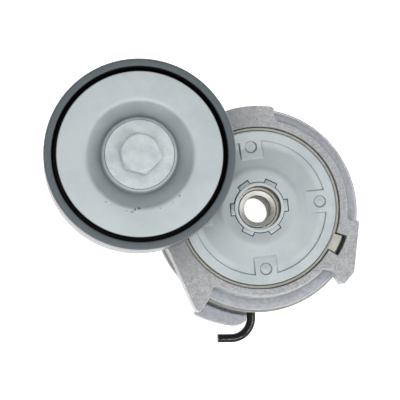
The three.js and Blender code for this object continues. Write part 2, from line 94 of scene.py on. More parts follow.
# Sizes that the frame gives
pulley_low, pulley_high = node_box("pulley_rim")
PULLEY = (pulley_low + pulley_high)[:2] / 2
PULLEY_R = node_radius("pulley_rim")
PULLEY_REAR, PULLEY_FRONT = node_span("pulley_rim")
PLATE_R = node_radius("front_plate")
BASE_R = node_radius("base_housing")
BASE_TOP = node_span("base_housing")[1]
TUBE_R = node_radius("pivot_tube")
TUBE_TOP = node_span("pivot_tube")[1]
COLLAR_BOTTOM, COLLAR_TOP = node_span("hub_collar")
SHOULDER_R = node_box("arm_casting")[1][0]
BEARING_R = node_radius("bearing_outer_ring")
BEARING_REAR, BEARING_FRONT = node_span("bearing_outer_ring")
BEARING_MIDDLE = (BEARING_REAR + BEARING_FRONT) / 2
SHIELD_R = node_radius("front_dust_shield")
SHIELD_TOP = node_span("front_dust_shield")[1]
WASHER_R = node_radius("bolt_washer")
WASHER_BOTTOM, WASHER_TOP = node_span("bolt_washer")
BOLT_BOTTOM, BOLT_TOP = node_span("pulley_bolt")

# Base housing and pivot
BASE_WALL = 3
BASE_PAD_R = 24
BASE_PAD_HEIGHT = 2.5
BASE_FLOOR = 6.5
RIB_COUNT = 8
RIB_WIDTH = 2.6
RIB_BOTTOM = 1.5
FIRST_RIB = 20  # degrees
PIN_BOSS_WIDTH = 9
LOCATING_HOLE = (-17.5, -8, 4.1)
PIN_BOSS_INNER = 37
TUBE_BORE_R = 5.9
TUBE_RELIEF_R = 6.9
NECK_BOTTOM = 10
THRUST_WASHER_R = 13.5
COUNTERSINK_BOTTOM = 24
COLLAR_R = 10.9
COLLAR_BORE_R = 9.3
COLLAR_STEP = 24.5
LUG_COUNT = 6
LUG_R = 12.4
LUG_WIDTH = 5
LUG_ANGLE = 4.5
LUG_BOTTOM = 30.2

# Front plate
PLATE_HOLE_R = COLLAR_R + GAP
PLATE_TOP = 31.2
PLATE_FIELD = 30.4
PLATE_THICKNESS = 2
STEP_R = 29.2
PLATE_PADS = (97, 5.7, -84.5, -173)
PAD_WIDTH = 9.6
PAD_INNER_R = 21.4
DIMPLE_AT = 26.6
DIMPLE_R = 2.6
DIMPLE_DEPTH = 0.9
PLATE_EDGE_ROUND = 0.4
PLATE_CREST_END = 20.6

# Torsion spring
SPRING_R = 29
SPRING_WIRE_R = 2.2
SPRING_START_Z = 9.3
SPRING_PITCH = 4.8
SPRING_TURNS = 2.2

# Arm casting and friction ring
ARM_TOP = 32
RING_R = 35.2
BAND_R = 38.3
SHELF_TOP = 26.7
WEB_BOTTOM = 22.7
SHOULDER_TOP = 22.4
SKIRT_BOTTOM = 18.5
SKIRT_BORE_R = 41.8
BEAM_BOTTOM = 19.5
LUG_ARC_R = 44.4
ARM_HUB_R = 14.5
ARM_HUB_BOTTOM = 9
BOSS_R = 12.5
BOSS_BOTTOM = 16.5
BOSS_TOP = 39.4
NOSE_R = 8.2
NOSE_BOTTOM = 38
NOSE_TOP = 51
BOLT_HOLE_TOP = 53
TAB_ANGLES = (-31.2, -19.3)
TAB_R = 38
NOTCH_ANGLES = (-31.9, -18.3)
NOTCH_R = 39.9
NOTCH_BOTTOM = 24
LIP_TOP = 30
FINGER_INNER_R = 46.2
FINGER_ROOT_R = 53
FINGER_TIP_R = 51
FINGER_ANGLES = (238.6, 264.7)
ROOT_ANGLES = (236.8, 240.4)
ROOT_OUTER_R = 50.8
FOOT_R = 47
FOOT_ANGLES = (236, 266.5)
FOOT_BOTTOM = 1
FOOT_TOP = 5.4
FINGER_BOTTOM = 6
FINGER_TOP = 14.4
FINGER_END_ROUND = 2.4

# Locking pin
PIN_ACROSS_FLATS = 3.45
PIN_ROLL = 14
PIN_X = -2
PIN_Z = 10.2
PIN_HOLE_R = 2.4
PIN_INNER_Y = -39
PIN_BEND_Y = -46.9
PIN_BEND_R = 8.9
PIN_END_X = -17.2

# Pulley, bearing and bolt
RIM_INNER_R = 36.7
PULLEY_HUB_R = 24.5
SNAP_GROOVE_R = 21.7
SNAP_WIDTH = 1.6
SNAP_THICKNESS = 0.9
SHIELD_THICKNESS = 1
SHIELD_FLAT_R = 23.3
SHIELD_SEAT_R = 15.9
HEX_ACROSS_FLATS = 16
HEX_TURN = 44.4
BOLT_R = 5
THREAD_PITCH = 1.5
THREAD_TURNS = 6
THREAD_ROOT_R = BOLT_R - 0.75
BEARING_BORE_R = 8.5
INNER_RING_R = 12.1
OUTER_RING_BORE_R = 16.4
BALL_COUNT = 8
BALL_R = 3.3
BALL_CIRCLE_R = (INNER_RING_R + OUTER_RING_BORE_R) / 2

# Studio
CAMERA_LENS = 157.5
CAMERA_TILT = (-0.0900, 0.0840, 0.0058)  # radians about the camera's X, Y and Z
CAMERA_AT = (-88.9, -64.1, 779.4)
FLOOR_R = 8000
FLOOR_RISE = 1800
FLOOR_GLOW = 0.9
SKY_AXIS = (0.03, -0.3, 0.953)
SKY_STOPS = ((0.0, 0.14), (0.35, 0.24), (0.65, 0.58), (0.9, 1.16))
SKY_STRENGTH = 1.0
SOFT_BOXES = (("key", (-0.15, -0.75, 1.3), 0.9, 1), ("right", (1.0, -0.1, 0.55), 0.7, 1.2))
BODY_OF = {
    node: body for body, nodes in frame["record"]["behaviour"]["bodies"].items() for node in nodes
}


# ---- mesh helpers


def rounded(points, steps=6):
    """The closed outline with each (x, y, radius) corner turned into an arc."""
    outline = []
    for i, point in enumerate(points):
        corner = np.array(point[:2], float)
        radius = point[2] if len(point) > 2 else 0
        before = np.array(points[i - 1][:2], float) - corner
        after = np.array(points[(i + 1) % len(points)][:2], float) - corner
        before /= np.linalg.norm(before)
        after /= np.linalg.norm(after)
        turn = math.pi - math.acos(np.clip(before @ after, -1, 1))
        if radius == 0 or turn < 1e-3:
            outline.append(corner)
            continue
        reach = radius * math.tan(turn / 2)
        middle = before + after
        centre = corner + middle / np.linalg.norm(middle) * radius / math.cos(turn / 2)
        start = corner + before * reach - centre
        end = corner + after * reach - centre
        for step in range(steps + 1):
            t = step / steps
            spoke = math.sin((1 - t) * turn) * start + math.sin(t * turn) * end
            outline.append(centre + spoke / math.sin(turn))
    return outline


def arc(radius, start, end, steps=24, centre=(0, 0)):
    """Points on a circle, from one angle to another in degrees."""
    angles = np.radians(np.linspace(start, end, steps + 1))
    return [(centre[0] + radius * math.cos(a), centre[1] + radius * math.sin(a)) for a in angles]


def bend(start, control, end, steps=8):
    """Points on a quadratic curve."""
    start, control, end = (np.array(p, float) for p in (start, control, end))
    spots = np.linspace(0, 1, steps + 1)
    return [(1 - t) ** 2 * start + 2 * t * (1 - t) * control + t * t * end for t in spots]


def new_piece(name, vertices, faces):
    """An object from vertices in millimetres."""
    mesh = bpy.data.meshes.new(name)
    mesh.from_pydata(np.asarray(vertices, float) * MM, [], faces)
    mesh.update()
    piece = bpy.data.objects.new(name, mesh)
    bpy.context.scene.collection.objects.link(piece)
    return piece


def loops_solid(name, radii, heights, centre=(0, 0)):
    """A closed solid round the axis: each row of radii and heights is one loop."""
    rows, columns = heights.shape
    turn = np.arange(columns) * 2 * math.pi / columns
    x = centre[0] + radii * np.cos(turn)
    y = centre[1] + radii * np.sin(turn)
    vertices = np.stack([x, y, heights], axis=-1).reshape(-1, 3)
    faces = []
    for i in range(rows):
        here = i * columns
        above = (i + 1) % rows * columns
        if max(radii[i].max(), radii[(i + 1) % rows].max()) < 1e-9:
            continue
        for j in range(columns):
            k = (j + 1) % columns
            faces.append((here + j, here + k, above + k, above + j))
    piece = new_piece(name, vertices, faces)
    if radii.min() < 1e-9:
        edit = bmesh.new()
        edit.from_mesh(piece.data)
        bmesh.ops.remove_doubles(edit, verts=edit.verts, dist=1e-8)
        edit.to_mesh(piece.data)
        edit.free()
    return piece


def revolve(name, profile, segments=FINE, centre=(0, 0)):
    """A solid of revolution from an anticlockwise profile of (r, z) or (r, z, radius)."""
    points = np.array(rounded(profile))
    ones = np.ones((len(points), segments))
    return loops_solid(name, points[:, :1] * ones, points[:, 1:] * ones, centre)


def disc(name, radius, bottom, top, segments=MEDIUM, centre=(0, 0)):
    """A plain cylinder."""
    return revolve(name, [(0, bottom), (radius, bottom), (radius, top), (0, top)], segments, centre)


def slab(name, outline, bottom, top):
    """A flat anticlockwise outline between two heights."""
    count = len(outline)
    vertices = [(x, y, bottom) for x, y in outline] + [(x, y, top) for x, y in outline]
    faces = [tuple(reversed(range(count))), tuple(range(count, 2 * count))]
    for i in range(count):
        j = (i + 1) % count
        faces.append((i, j, count + j, count + i))
    return new_piece(name, vertices, faces)


def bar(name, length, width, bottom, top, middle, degrees=0):
    """A radial block whose middle is a distance from the axis, at an angle."""
    a = math.radians(degrees)
    along = np.array([math.cos(a), math.sin(a)])
    across = np.array([-math.sin(a), math.cos(a)])
    corners = ((-1, -1), (1, -1), (1, 1), (-1, 1))
    outline = [
        along * (middle + u * length / 2) + across * (v * width / 2) for u, v in corners
    ]
    return slab(name, outline, bottom, top)


def hexagon(corner, degrees, radius, centre=(0, 0)):
    """Outline of a hexagon with rounded corners, the first of them at an angle."""
    turn = np.radians(degrees + 60 * np.arange(6))
    return [
        (centre[0] + corner * math.cos(a), centre[1] + corner * math.sin(a), radius) for a in turn
    ]


def sweep(name, route, section, sideways):
    """A section carried along a route; sideways gives each route point its own outward direction."""
    route = np.array(route, float)
    count = len(section)
    vertices = []
    for i, point in enumerate(route):
        ahead = route[min(i + 1, len(route) - 1)] - route[max(i - 1, 0)]
        ahead /= np.linalg.norm(ahead)
        out = np.array(sideways[i], float)
        out -= ahead * (out @ ahead)
        out /= np.linalg.norm(out)
        up = np.cross(ahead, out)
        vertices += [point + out * u + up * v for u, v in section]
    faces = [tuple(reversed(range(count))), tuple(range(len(vertices) - count, len(vertices)))]
    for i in range(len(route) - 1):
        for j in range(count):
            k = (j + 1) % count
            here = i * count
            faces.append((here + j, here + k, here + count + k, here + count + j))
    return new_piece(name, vertices, faces)


def settle(piece):
    """Turns the modifiers into plain mesh."""
    graph = bpy.context.evaluated_depsgraph_get()
    settled = bpy.data.meshes.new_from_object(piece.evaluated_get(graph))
    piece.modifiers.clear()
    piece.data = settled
    return piece


def combine(piece, tools, operation):
    """Joins other solids to the piece, or cuts them out of it."""
    for tool in tools:
        modifier = piece.modifiers.new(operation, "BOOLEAN")
        modifier.object = tool
        modifier.operation = operation
        modifier.solver = "EXACT"
        weld = piece.modifiers.new("weld", "WELD")
        weld.merge_threshold = 0.002 * MM
        settle(piece)
        bpy.data.objects.remove(tool)
    return piece


def soften(piece, width, segments=2, degrees=30):
    """Rounds the edges that are sharper than an angle."""
    modifier = piece.modifiers.new("soften", "BEVEL")
    modifier.width = width * MM
    modifier.segments = segments
    modifier.limit_method = "ANGLE"
    modifier.angle_limit = math.radians(degrees)
    return settle(piece)


def cast_skin(piece, voxel, smoothing, most_faces=95000):
    """An even mesh with the small radii that a casting has on all its edges."""
    remesh = piece.modifiers.new("remesh", "REMESH")
    remesh.mode = "VOXEL"
    remesh.voxel_size = voxel * MM
    smooth = piece.modifiers.new("smooth", "SMOOTH")
    smooth.factor = 0.5
    smooth.iterations = smoothing
    settle(piece)
    if len(piece.data.polygons) > most_faces:
        thin = piece.modifiers.new("thin", "DECIMATE")
        thin.ratio = most_faces / len(piece.data.polygons)
        settle(piece)
    return piece


def ripple(piece, size, depth):
    """Moves the surface in and out by a slow noise, so that no face is dead flat."""
    vertices = piece.data.vertices
    spots = np.empty(3 * len(vertices))
    normals = np.empty(3 * len(vertices), np.float32)
    vertices.foreach_get("co", spots)
    vertices.foreach_get("normal", normals)
    spots = spots.reshape(-1, 3)
    shifts = [noise.noise(Vector(spot) / (size * MM)) for spot in spots]
    spots += normals.reshape(-1, 3) * np.array(shifts)[:, None] * depth * MM
    vertices.foreach_set("co", spots.ravel())
    piece.data.update()
    return piece


def add(piece, node, slot, *materials, sharp=35):
    """Puts the piece in the place of its CAD node."""
    for material in materials:
        piece.data.materials.append(material)
    piece.data.shade_smooth()
    piece.data.set_sharp_from_angle(angle=math.radians(sharp))
    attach(piece, BODY_OF[node])
    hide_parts(node)
    return piece


def turned(node, profile, segments, centre, slot, *materials, sharp=35):
    """Revolves a profile in the place of its CAD node."""
    piece = revolve("fine_" + node, profile, segments, centre)
    return add(piece, node, slot, *materials, sharp=sharp)


def paint_faces(piece, index, chosen):
    """Gives the faces that chosen(centre in mm, normal) picks the material of that index."""
    for face in piece.data.polygons:
        if chosen(np.array(face.center) / MM, face.normal):
            face.material_index = index


# ---- materials


class Paint:
    """A node material under construction. Sizes are in millimetres."""

    def __init__(self, name, **settings):
        self.material = bpy.data.materials.new(name)
        self.material.use_nodes = True
        self.tree = self.material.node_tree
        self.shader = self.tree.nodes["Principled BSDF"]
        self.place = self.node("ShaderNodeTexCoord").outputs["Object"]
        for socket, value in settings.items():
            self.feed(self.shader.inputs[socket.replace("_", " ").title()], value)

    def node(self, kind, **settings):
        """A new node: capitalised settings are its inputs, the others its own properties."""
        made = self.tree.nodes.new(kind)
        for name, value in settings.items():
            if name[0].isupper():
                self.feed(made.inputs[name], value)
            else:
                setattr(made, name, value)
        return made

    def feed(self, socket, value):
        if isinstance(value, bpy.types.NodeSocket):
            self.tree.links.new(value, socket)
        elif isinstance(value, tuple) and len(value) == 3 and socket.type == "RGBA":
            socket.default_value = (*value, 1)
        else:
            socket.default_value = value

    def stretched(self, x=1, y=1, z=1, centre=(0, 0)):
        """Object coordinates about a centre, squeezed along each axis."""
        shift = (-centre[0] * MM * x, -centre[1] * MM * y, 0)
        mapping = self.node("ShaderNodeMapping", Vector=self.place, Location=shift, Scale=(x, y, z))
        return mapping.outputs["Vector"]

    def coordinate(self, axis):
        """One of the object coordinates X, Y and Z, in metres."""
        return self.node("ShaderNodeSeparateXYZ", Vector=self.place).outputs[axis]

    def noise(self, size, detail=2, rough=0.5, place=None):
        """Clouds of about a size, in millimetres."""
        scale = 1 / (size * MM)
        place = place or self.place
        sizes = {"Scale": scale, "Detail": detail, "Roughness": rough}
        made = self.node("ShaderNodeTexNoise", Vector=place, **sizes)
        return made.outputs["Fac"]

    def cells(self, size):
        """Distance to the nearest of many scattered points, in cells."""
        made = self.node("ShaderNodeTexVoronoi", Vector=self.place, Scale=1 / (size * MM))
        return made.outputs["Distance"]

    def scale(self, value, low, high, to_low=0, to_high=1):
        """Maps the range low..high of a value to another one, and clamps it."""
        made = self.node("ShaderNodeMapRange", clamp=True)
        for socket, number in zip(made.inputs, (value, low, high, to_low, to_high)):
            self.feed(socket, number)
        return made.outputs["Result"]

    def maths(self, operation, a, b):
        made = self.node("ShaderNodeMath", operation=operation)
        self.feed(made.inputs[0], a)
        self.feed(made.inputs[1], b)
        return made.outputs[0]

    def times(self, a, b):
        return self.maths("MULTIPLY", a, b)

    def mix(self, factor, a, b):
        made = self.node("ShaderNodeMix", data_type="RGBA", Factor=factor)
        colours = [socket for socket in made.inputs if socket.type == "RGBA"]
        self.feed(colours[0], a)
        self.feed(colours[1], b)
        return next(socket for socket in made.outputs if socket.type == "RGBA")

    def radius(self, centre=(0, 0)):
        """Distance from an axis parallel to Z, in millimetres."""
        flat = self.stretched(z=0, centre=centre)
        length = self.node("ShaderNodeVectorMath", operation="LENGTH", Vector=flat)
        return self.maths("DIVIDE", length.outputs["Value"], MM)

    def band(self, value, low, high, edge):
        """1 between low and high, fading to 0 over an edge on each side."""
        rise = self.scale(value, low - edge, low)
        fall = self.scale(value, high, high + edge, 1, 0)
        return self.times(rise, fall)

    def edges(self, low, high):
        """0 in the hollows and 1 on the outer edges of the mesh."""
        return self.scale(self.node("ShaderNodeNewGeometry").outputs["Pointiness"], low, high)

    def relief(self, height, depth):
        """Adds bumps, as deep in millimetres where the height goes from 0 to 1."""
        made = self.node("ShaderNodeBump", Strength=1, Distance=depth * MM, Height=height)
        under = self.shader.inputs["Normal"]
        if under.is_linked:
            self.feed(made.inputs["Normal"], under.links[0].from_socket)
        self.feed(under, made.outputs["Normal"])

    def spread(self, value, dark, pale, low=0.35, high=0.65):
        """A colour that goes from dark to pale while the value goes from low to high."""
        return self.mix(self.scale(value, low, high), dark, pale)

    def dab(self, tone, value, low, high, most, colour):
        """Covers a tone with a colour where the value is high, by up to a share of it."""
        return self.mix(self.scale(value, low, high, 0, most), tone, colour)

    def coat(self, tone, value, rough_low, rough_high, *bumps):
        """Sets the colour, a roughness that follows a value, and (height, depth) bumps."""
        self.feed(self.shader.inputs["Base Color"], tone)
        self.feed(self.shader.inputs["Roughness"], self.scale(value, 0.3, 0.7, rough_low, rough_high))
        for height, depth in bumps:
            self.relief(height, depth)
        return self.material


def cast_aluminium():
    """Die-cast skin: cloudy grey patches, fine grain, small pits, rubbed outer edges, painted shade in
    the creases and towards the pulley.
    """
    paint = Paint("cast_aluminium", metallic=0.6)
    clouds = paint.noise(9, 3, 0.55)
    blotches = paint.noise(1.8, 4, 0.7)
    grain = paint.noise(0.42, 3, 0.65)
    blasted = paint.scale(paint.coordinate("Z"), (ARM_TOP - 4) * MM, (ARM_TOP - 2) * MM)
    tone = paint.spread(blotches, (0.32, 0.335, 0.355), (0.57, 0.58, 0.585), 0.36, 0.66)
    tone = paint.dab(tone, clouds, 0.42, 0.7, 0.4, (0.45, 0.485, 0.54))
    skin = paint.mix(0.45, tone, (0.45, 0.485, 0.54))
    tone = paint.mix(blasted, skin, tone)
    sand_share = paint.scale(blasted, 0, 1, 0.25, 0.75)
    sand = paint.times(paint.scale(grain, 0.42, 0.62), sand_share)
    tone = paint.mix(sand, tone, (0.66, 0.66, 0.65))
    dark_share = paint.scale(blasted, 0, 1, 0.2, 0.7)
    dark = paint.times(paint.scale(grain, 0.46, 0.34), dark_share)
    tone = paint.mix(dark, tone, (0.25, 0.255, 0.265))
    pits = paint.scale(paint.cells(2.6), 0.05, 0.12, 1, 0)
    pits = paint.times(pits, paint.scale(clouds, 0.5, 0.62))
    tone = paint.mix(paint.times(pits, 0.6), tone, (0.12, 0.12, 0.125))
    # painted shade: the casting darkens towards the pulley, where the pulley's shadow falls
    pulley_shade = paint.scale(paint.radius(PULLEY), 46, 60, 0.5, 0.03)
    tone = paint.mix(pulley_shade, tone, (0.25, 0.26, 0.27))
    # painted shade: dark in the hollows and creases of the mesh
    tone = paint.mix(paint.edges(0.43, 0.495), (0.13, 0.135, 0.145), tone)
    tone = paint.mix(paint.edges(0.52, 0.58), tone, (0.66, 0.67, 0.68))
    return paint.coat(
        tone, blotches, 0.6, 0.44,
        (blotches, 0.05), (grain, 0.035), (paint.times(pits, -1.0), 0.06),
    )


def zinc_plate():
    """Zinc-plated pressed steel: faint green-blue clouds, a few rubbed spots, painted shade in the
    creases and on the dish near the pulley.
    """
    paint = Paint("zinc_plate", metallic=0.65)
    clouds = paint.noise(14, 3, 0.6)
    grain = paint.noise(0.5, 2, 0.6)
    rubs = paint.noise(2.2, 4, 0.7, paint.stretched(1, 2.2, 1))
    tone = paint.spread(clouds, (0.515, 0.58, 0.59), (0.645, 0.695, 0.705))
    tone = paint.dab(tone, rubs, 0.6, 0.78, 0.35, (0.42, 0.46, 0.48))
    tone = paint.dab(tone, grain, 0.35, 0.65, 0.12, (0.42, 0.46, 0.47))
    # darker over the dish, most near the pulley: painted shade of the pulley
    darker_dish = paint.band(paint.radius(), 12, 25.5, 1.5)
    pulley_shade = paint.scale(paint.radius(PULLEY), 42, 68, 0.95, 0.35)
    darker_dish = paint.times(darker_dish, pulley_shade)
    tone = paint.mix(darker_dish, tone, (0.42, 0.465, 0.475))
    # painted shade: dark in the hollows and creases, such as the step and the pads' edges
    tone = paint.mix(paint.edges(0.40, 0.49), (0.17, 0.2, 0.21), tone)
    return paint.coat(tone, clouds, 0.36, 0.46, (grain, 0.008), (paint.noise(5, 2), 0.03))


def shield_zinc():
    """The pulley's dust shield: pale zinc with specks round the bend, light scuffs, and painted shade
    that darkens the dish towards the washer.
    """
    paint = Paint("shield_zinc", metallic=0.65)
    clouds = paint.noise(16, 3, 0.6)
    grain = paint.noise(0.6, 2, 0.6)
    tone = paint.spread(clouds, (0.525, 0.595, 0.605), (0.625, 0.685, 0.695))
    tone = paint.dab(tone, grain, 0.35, 0.65, 0.1, (0.42, 0.46, 0.47))
    lower_side = paint.coordinate("Y")
    lower_side = paint.scale(lower_side, (PULLEY[1] - 12) * MM, (PULLEY[1] - 16) * MM)
    radius = paint.radius(PULLEY)
    specks = paint.scale(paint.noise(2.1, 4, 0.6), 0.62, 0.67)
    specks = paint.times(specks, paint.band(radius, 22.6, 24.6, 0.8))
    specks = paint.times(specks, lower_side)
    tone = paint.mix(specks, tone, (0.19, 0.21, 0.22))
    scuffs = paint.scale(paint.noise(1.1, 4, 0.7, paint.stretched(0.5, 1.2, 1)), 0.66, 0.74)
    scuffs = paint.times(scuffs, paint.scale(clouds, 0.46, 0.56))
    tone = paint.mix(paint.times(scuffs, 0.4), tone, (0.34, 0.38, 0.39))
    # painted shade: the dish darkens towards the washer
    tone = paint.mix(paint.scale(radius, 16, 23, 0.6, 0), tone, (0.33, 0.375, 0.38))
    return paint.coat(tone, clouds, 0.38, 0.5, (grain, 0.01), (paint.noise(7, 2), 0.03))


def galvanised_fastener():
    """Washer and bolt: brighter zinc with cloudy rubbed patches, and painted shade in the creases."""
    paint = Paint("galvanised_fastener", metallic=0.65)
    patches = paint.noise(5, 4, 0.6)
    grain = paint.noise(0.5, 3, 0.65)
    strokes = paint.noise(1.6, 4, 0.7, paint.stretched(0.4, 1.4, 1))
    tone = paint.spread(patches, (0.57, 0.62, 0.635), (0.70, 0.75, 0.76), 0.34, 0.68)
    tone = paint.dab(tone, strokes, 0.56, 0.72, 0.4, (0.45, 0.49, 0.5))
    tone = paint.dab(tone, grain, 0.45, 0.7, 0.25, (0.46, 0.5, 0.51))
    # painted shade: dark in the hollows and creases
    tone = paint.mix(paint.edges(0.38, 0.485), (0.2, 0.22, 0.23), tone)
    return paint.coat(tone, patches, 0.5, 0.36, (patches, 0.03), (grain, 0.015))


def lathe_lines(paint, size, centre=(0, 0)):
    """Fine turned lines: noise that varies along the axis and the radius only."""
    radius = paint.times(paint.radius(centre), MM)
    joined = paint.node("ShaderNodeCombineXYZ", X=radius, Z=paint.coordinate("Z"))
    return paint.noise(size, 3, 0.7, joined.outputs[0])


def tube_steel():
    """Turned mild steel with a faint yellow passivation."""
    paint = Paint("tube_steel", metallic=0.7)
    lines = lathe_lines(paint, 0.35)
    stain = paint.noise(3, 3, 0.6)
    tone = paint.spread(stain, (0.74, 0.73, 0.67), (0.92, 0.92, 0.87))
    tone = paint.dab(tone, lines, 0.4, 0.7, 0.3, (0.42, 0.41, 0.37))
    return paint.coat(tone, lines, 0.3, 0.42, (lines, 0.02))


def shaded_bore():
    """Steel inside the tube and the collar, coloured dark brown as painted shade of the deep bore,
    streaked along it.
    """
    paint = Paint("shaded_bore", metallic=0.3)
    streaks = paint.noise(1.2, 4, 0.65, paint.stretched(1, 1, 0.25))
    tone = paint.spread(streaks, (0.10, 0.09, 0.078), (0.2, 0.19, 0.165))
    return paint.coat(tone, streaks, 0.4, 0.6, (streaks, 0.015))


def bearing_steel(centre=PULLEY):
    """Ground bearing steel with fine turned lines and a light oil haze."""
    paint = Paint("bearing_steel", metallic=1.0)
    lines = lathe_lines(paint, 0.2, centre)
    haze = paint.noise(4, 3, 0.6)
    tone = paint.spread(haze, (0.54, 0.545, 0.55), (0.62, 0.62, 0.63))
    tone = paint.dab(tone, lines, 0.4, 0.7, 0.25, (0.36, 0.36, 0.37))
    return paint.coat(tone, haze, 0.16, 0.28, (lines, 0.004))


def nylon(name, low, high):
    """Filled nylon: matt, a little cloudy, with moulding grain."""
    paint = Paint(name, metallic=0.0)
    clouds = paint.noise(3, 4, 0.6)
    grain = paint.noise(0.35, 2, 0.6)
    tone = paint.spread(clouds, low, high)
    darker = tuple(0.7 * part for part in low)
    tone = paint.dab(tone, grain, 0.55, 0.8, 0.3, darker)
    return paint.coat(tone, clouds, 0.5, 0.62, (grain, 0.012))


def seal_rubber():
    """Black rubber with bloom and a faint moulded grain."""
    paint = Paint("seal_rubber", metallic=0.0)
    bloom = paint.noise(2.5, 4, 0.6)
    grain = paint.noise(0.25, 2, 0.5)
    tone = paint.spread(bloom, (0.014, 0.014, 0.015), (0.035, 0.035, 0.037), 0.4, 0.7)
    return paint.coat(tone, bloom, 0.55, 0.75, (grain, 0.01))


def rim_coating():
    """The pulley's slate-grey baked coating, with turned bands showing through it."""
    paint = Paint("rim_coating", metallic=0.35)
    bands = lathe_lines(paint, 0.5, PULLEY)
    clouds = paint.noise(6, 3, 0.6)
    dust = paint.noise(0.5, 3, 0.7)
    tone = paint.spread(bands, (0.088, 0.112, 0.122), (0.135, 0.165, 0.176))
    tone = paint.dab(tone, clouds, 0.4, 0.7, 0.3, (0.17, 0.2, 0.21))
    tone = paint.dab(tone, dust, 0.62, 0.74, 0.3, (0.3, 0.33, 0.34))
    return paint.coat(tone, clouds, 0.3, 0.42, (bands, 0.012), (dust, 0.006))


def running_face():
    """The belt track: the same coating polished paler, with fine lines round it."""
    paint = Paint("running_face", metallic=0.85)
    lines = lathe_lines(paint, 0.4, PULLEY)
    clouds = paint.noise(5, 3, 0.6, paint.stretched(1, 1, 3))
    tone = paint.spread(lines, (0.14, 0.137, 0.14), (0.21, 0.204, 0.207))
    tone = paint.dab(tone, clouds, 0.45, 0.7, 0.4, (0.33, 0.34, 0.35))
    return paint.coat(tone, clouds, 0.26, 0.4, (lines, 0.006))


def rim_inside():
    """The coating inside the pulley: dark and dusty, made near black as painted shade of the deep
    cavity.
    """
    paint = Paint("rim_inside", metallic=0.0)
    dust = paint.noise(1.5, 4, 0.65)
    tone = paint.spread(dust, (0.006, 0.0065, 0.007), (0.02, 0.021, 0.022), 0.4, 0.8)
    return paint.coat(tone, dust, 0.5, 0.7, (dust, 0.02))


def black_steel():
    """Blackened rod: dark oxide with thin rubbed lines along it."""
    paint = Paint("black_steel", metallic=0.9)
    wear = paint.noise(0.9, 4, 0.7)
    tone = paint.spread(wear, (0.012, 0.012, 0.012), (0.03, 0.03, 0.03), 0.35, 0.7)
    tone = paint.dab(tone, wear, 0.66, 0.78, 0.6, (0.13, 0.125, 0.12))
    return paint.coat(tone, wear, 0.24, 0.4, (wear, 0.01))


def pin_highlight():
    """Painted highlight on the outer corner of the rod that faces up towards the lights, pale in
    patches.
    """
    paint = Paint("pin_highlight", metallic=0.8)
    wear = paint.noise(1.4, 4, 0.7)
    tone = paint.spread(wear, (0.03, 0.03, 0.03), (0.42, 0.42, 0.4), 0.42, 0.56)
    return paint.coat(tone, wear, 0.3, 0.45, (wear, 0.01))


def cut_steel():
    """Bare sawn steel at the end of the rod."""
    paint = Paint("cut_steel", metallic=0.9)
    marks = paint.noise(0.3, 3, 0.7, paint.stretched(1, 0.3, 2))
    tone = paint.spread(marks, (0.42, 0.41, 0.4), (0.66, 0.65, 0.63), 0.3, 0.7)
    return paint.coat(tone, marks, 0.35, 0.5, (marks, 0.02))


CAST = cast_aluminium()
ZINC = zinc_plate()
SHIELD = shield_zinc()
FASTENER = galvanised_fastener()
TUBE = tube_steel()
BORE_SHADE = shaded_bore()
BEARING = bearing_steel()
NYLON = nylon("nylon", (0.58, 0.565, 0.49), (0.68, 0.665, 0.585))
# painted shade: a darker copy of the nylon for the wear ring down in the arm's slot
SHADED_NYLON = nylon("shaded_nylon", (0.38, 0.365, 0.31), (0.48, 0.465, 0.4))
CAGE_NYLON = nylon("cage_nylon", (0.44, 0.38, 0.24), (0.53, 0.46, 0.31))
RUBBER = seal_rubber()
COATING = rim_coating()
TRACK = running_face()
INSIDE = rim_inside()
BLACK = black_steel()
PIN_HIGHLIGHT = pin_highlight()
CUT = cut_steel()


# ---- base


def base_housing():
    """The cup behind the arm: machined mounting pad, ribs in its back, locating hole, pin boss."""
    inner = TUBE_R + GAP
    profile = [
        (inner, 0), (BASE_PAD_R, 0, 0.5),
        (BASE_PAD_R + 0.9, BASE_PAD_HEIGHT, 1), (BASE_R - 3.4, BASE_PAD_HEIGHT, 1.5),
        (BASE_R, BASE_PAD_HEIGHT + 3, 2), (BASE_R, BASE_TOP, 0.5),
        (BASE_R - BASE_WALL, BASE_TOP, 0.5), (BASE_R - BASE_WALL, BASE_FLOOR, 1.5),
        (inner, BASE_FLOOR),
    ]
    cup = revolve("fine_base_housing", profile)
    rib_length = BASE_R - BASE_PAD_R - 7
    rib_middle = BASE_PAD_R + rib_length / 2
    rib_top = BASE_PAD_HEIGHT + 1
    ribs = []
    for i in range(RIB_COUNT):
        angle = FIRST_RIB + i * 360 // RIB_COUNT
        ribs.append(bar("rib", rib_length, RIB_WIDTH, RIB_BOTTOM, rib_top, rib_middle, angle))
    length = BASE_R - 1 - PIN_BOSS_INNER
    middle = PIN_BOSS_INNER + length / 2
    boss = bar("boss", length, PIN_BOSS_WIDTH, BASE_FLOOR - 1, BASE_TOP - 0.7, middle, -90)
    boss.data.transform(Matrix.Translation((PIN_X * MM, 0, 0)))
    foot = slab("foot", sector(BASE_R - 5, FOOT_R, FOOT_ANGLES), FOOT_BOTTOM, FOOT_TOP)
    combine(cup, [*ribs, boss, foot], "UNION")
    bore = disc("bore", PIN_HOLE_R, -8, 8, 32)
    at_pin = Matrix.Translation((PIN_X * MM, (-BASE_R + 3) * MM, PIN_Z * MM))
    bore.data.transform(at_pin @ Matrix.Rotation(math.pi / 2, 4, "X"))
    x, y, r = LOCATING_HOLE
    locating = disc("locating", r, -1, 8, 48, (x, y))
    chamfer = revolve("chamfer", [(0, -1), (r + 1.4, -1), (r - 0.2, 0.6), (0, 0.6)], 48, (x, y))
    combine(cup, [bore, locating, chamfer], "DIFFERENCE")
    cast_skin(cup, BASE_VOXEL, 2)
    ripple(cup, 9, 0.05)
    add(cup, "base_housing", "cast_aluminium", CAST, TUBE)
    paint_faces(cup, 1, lambda at, normal: at[2] < 0.2 and normal.z < -0.9)


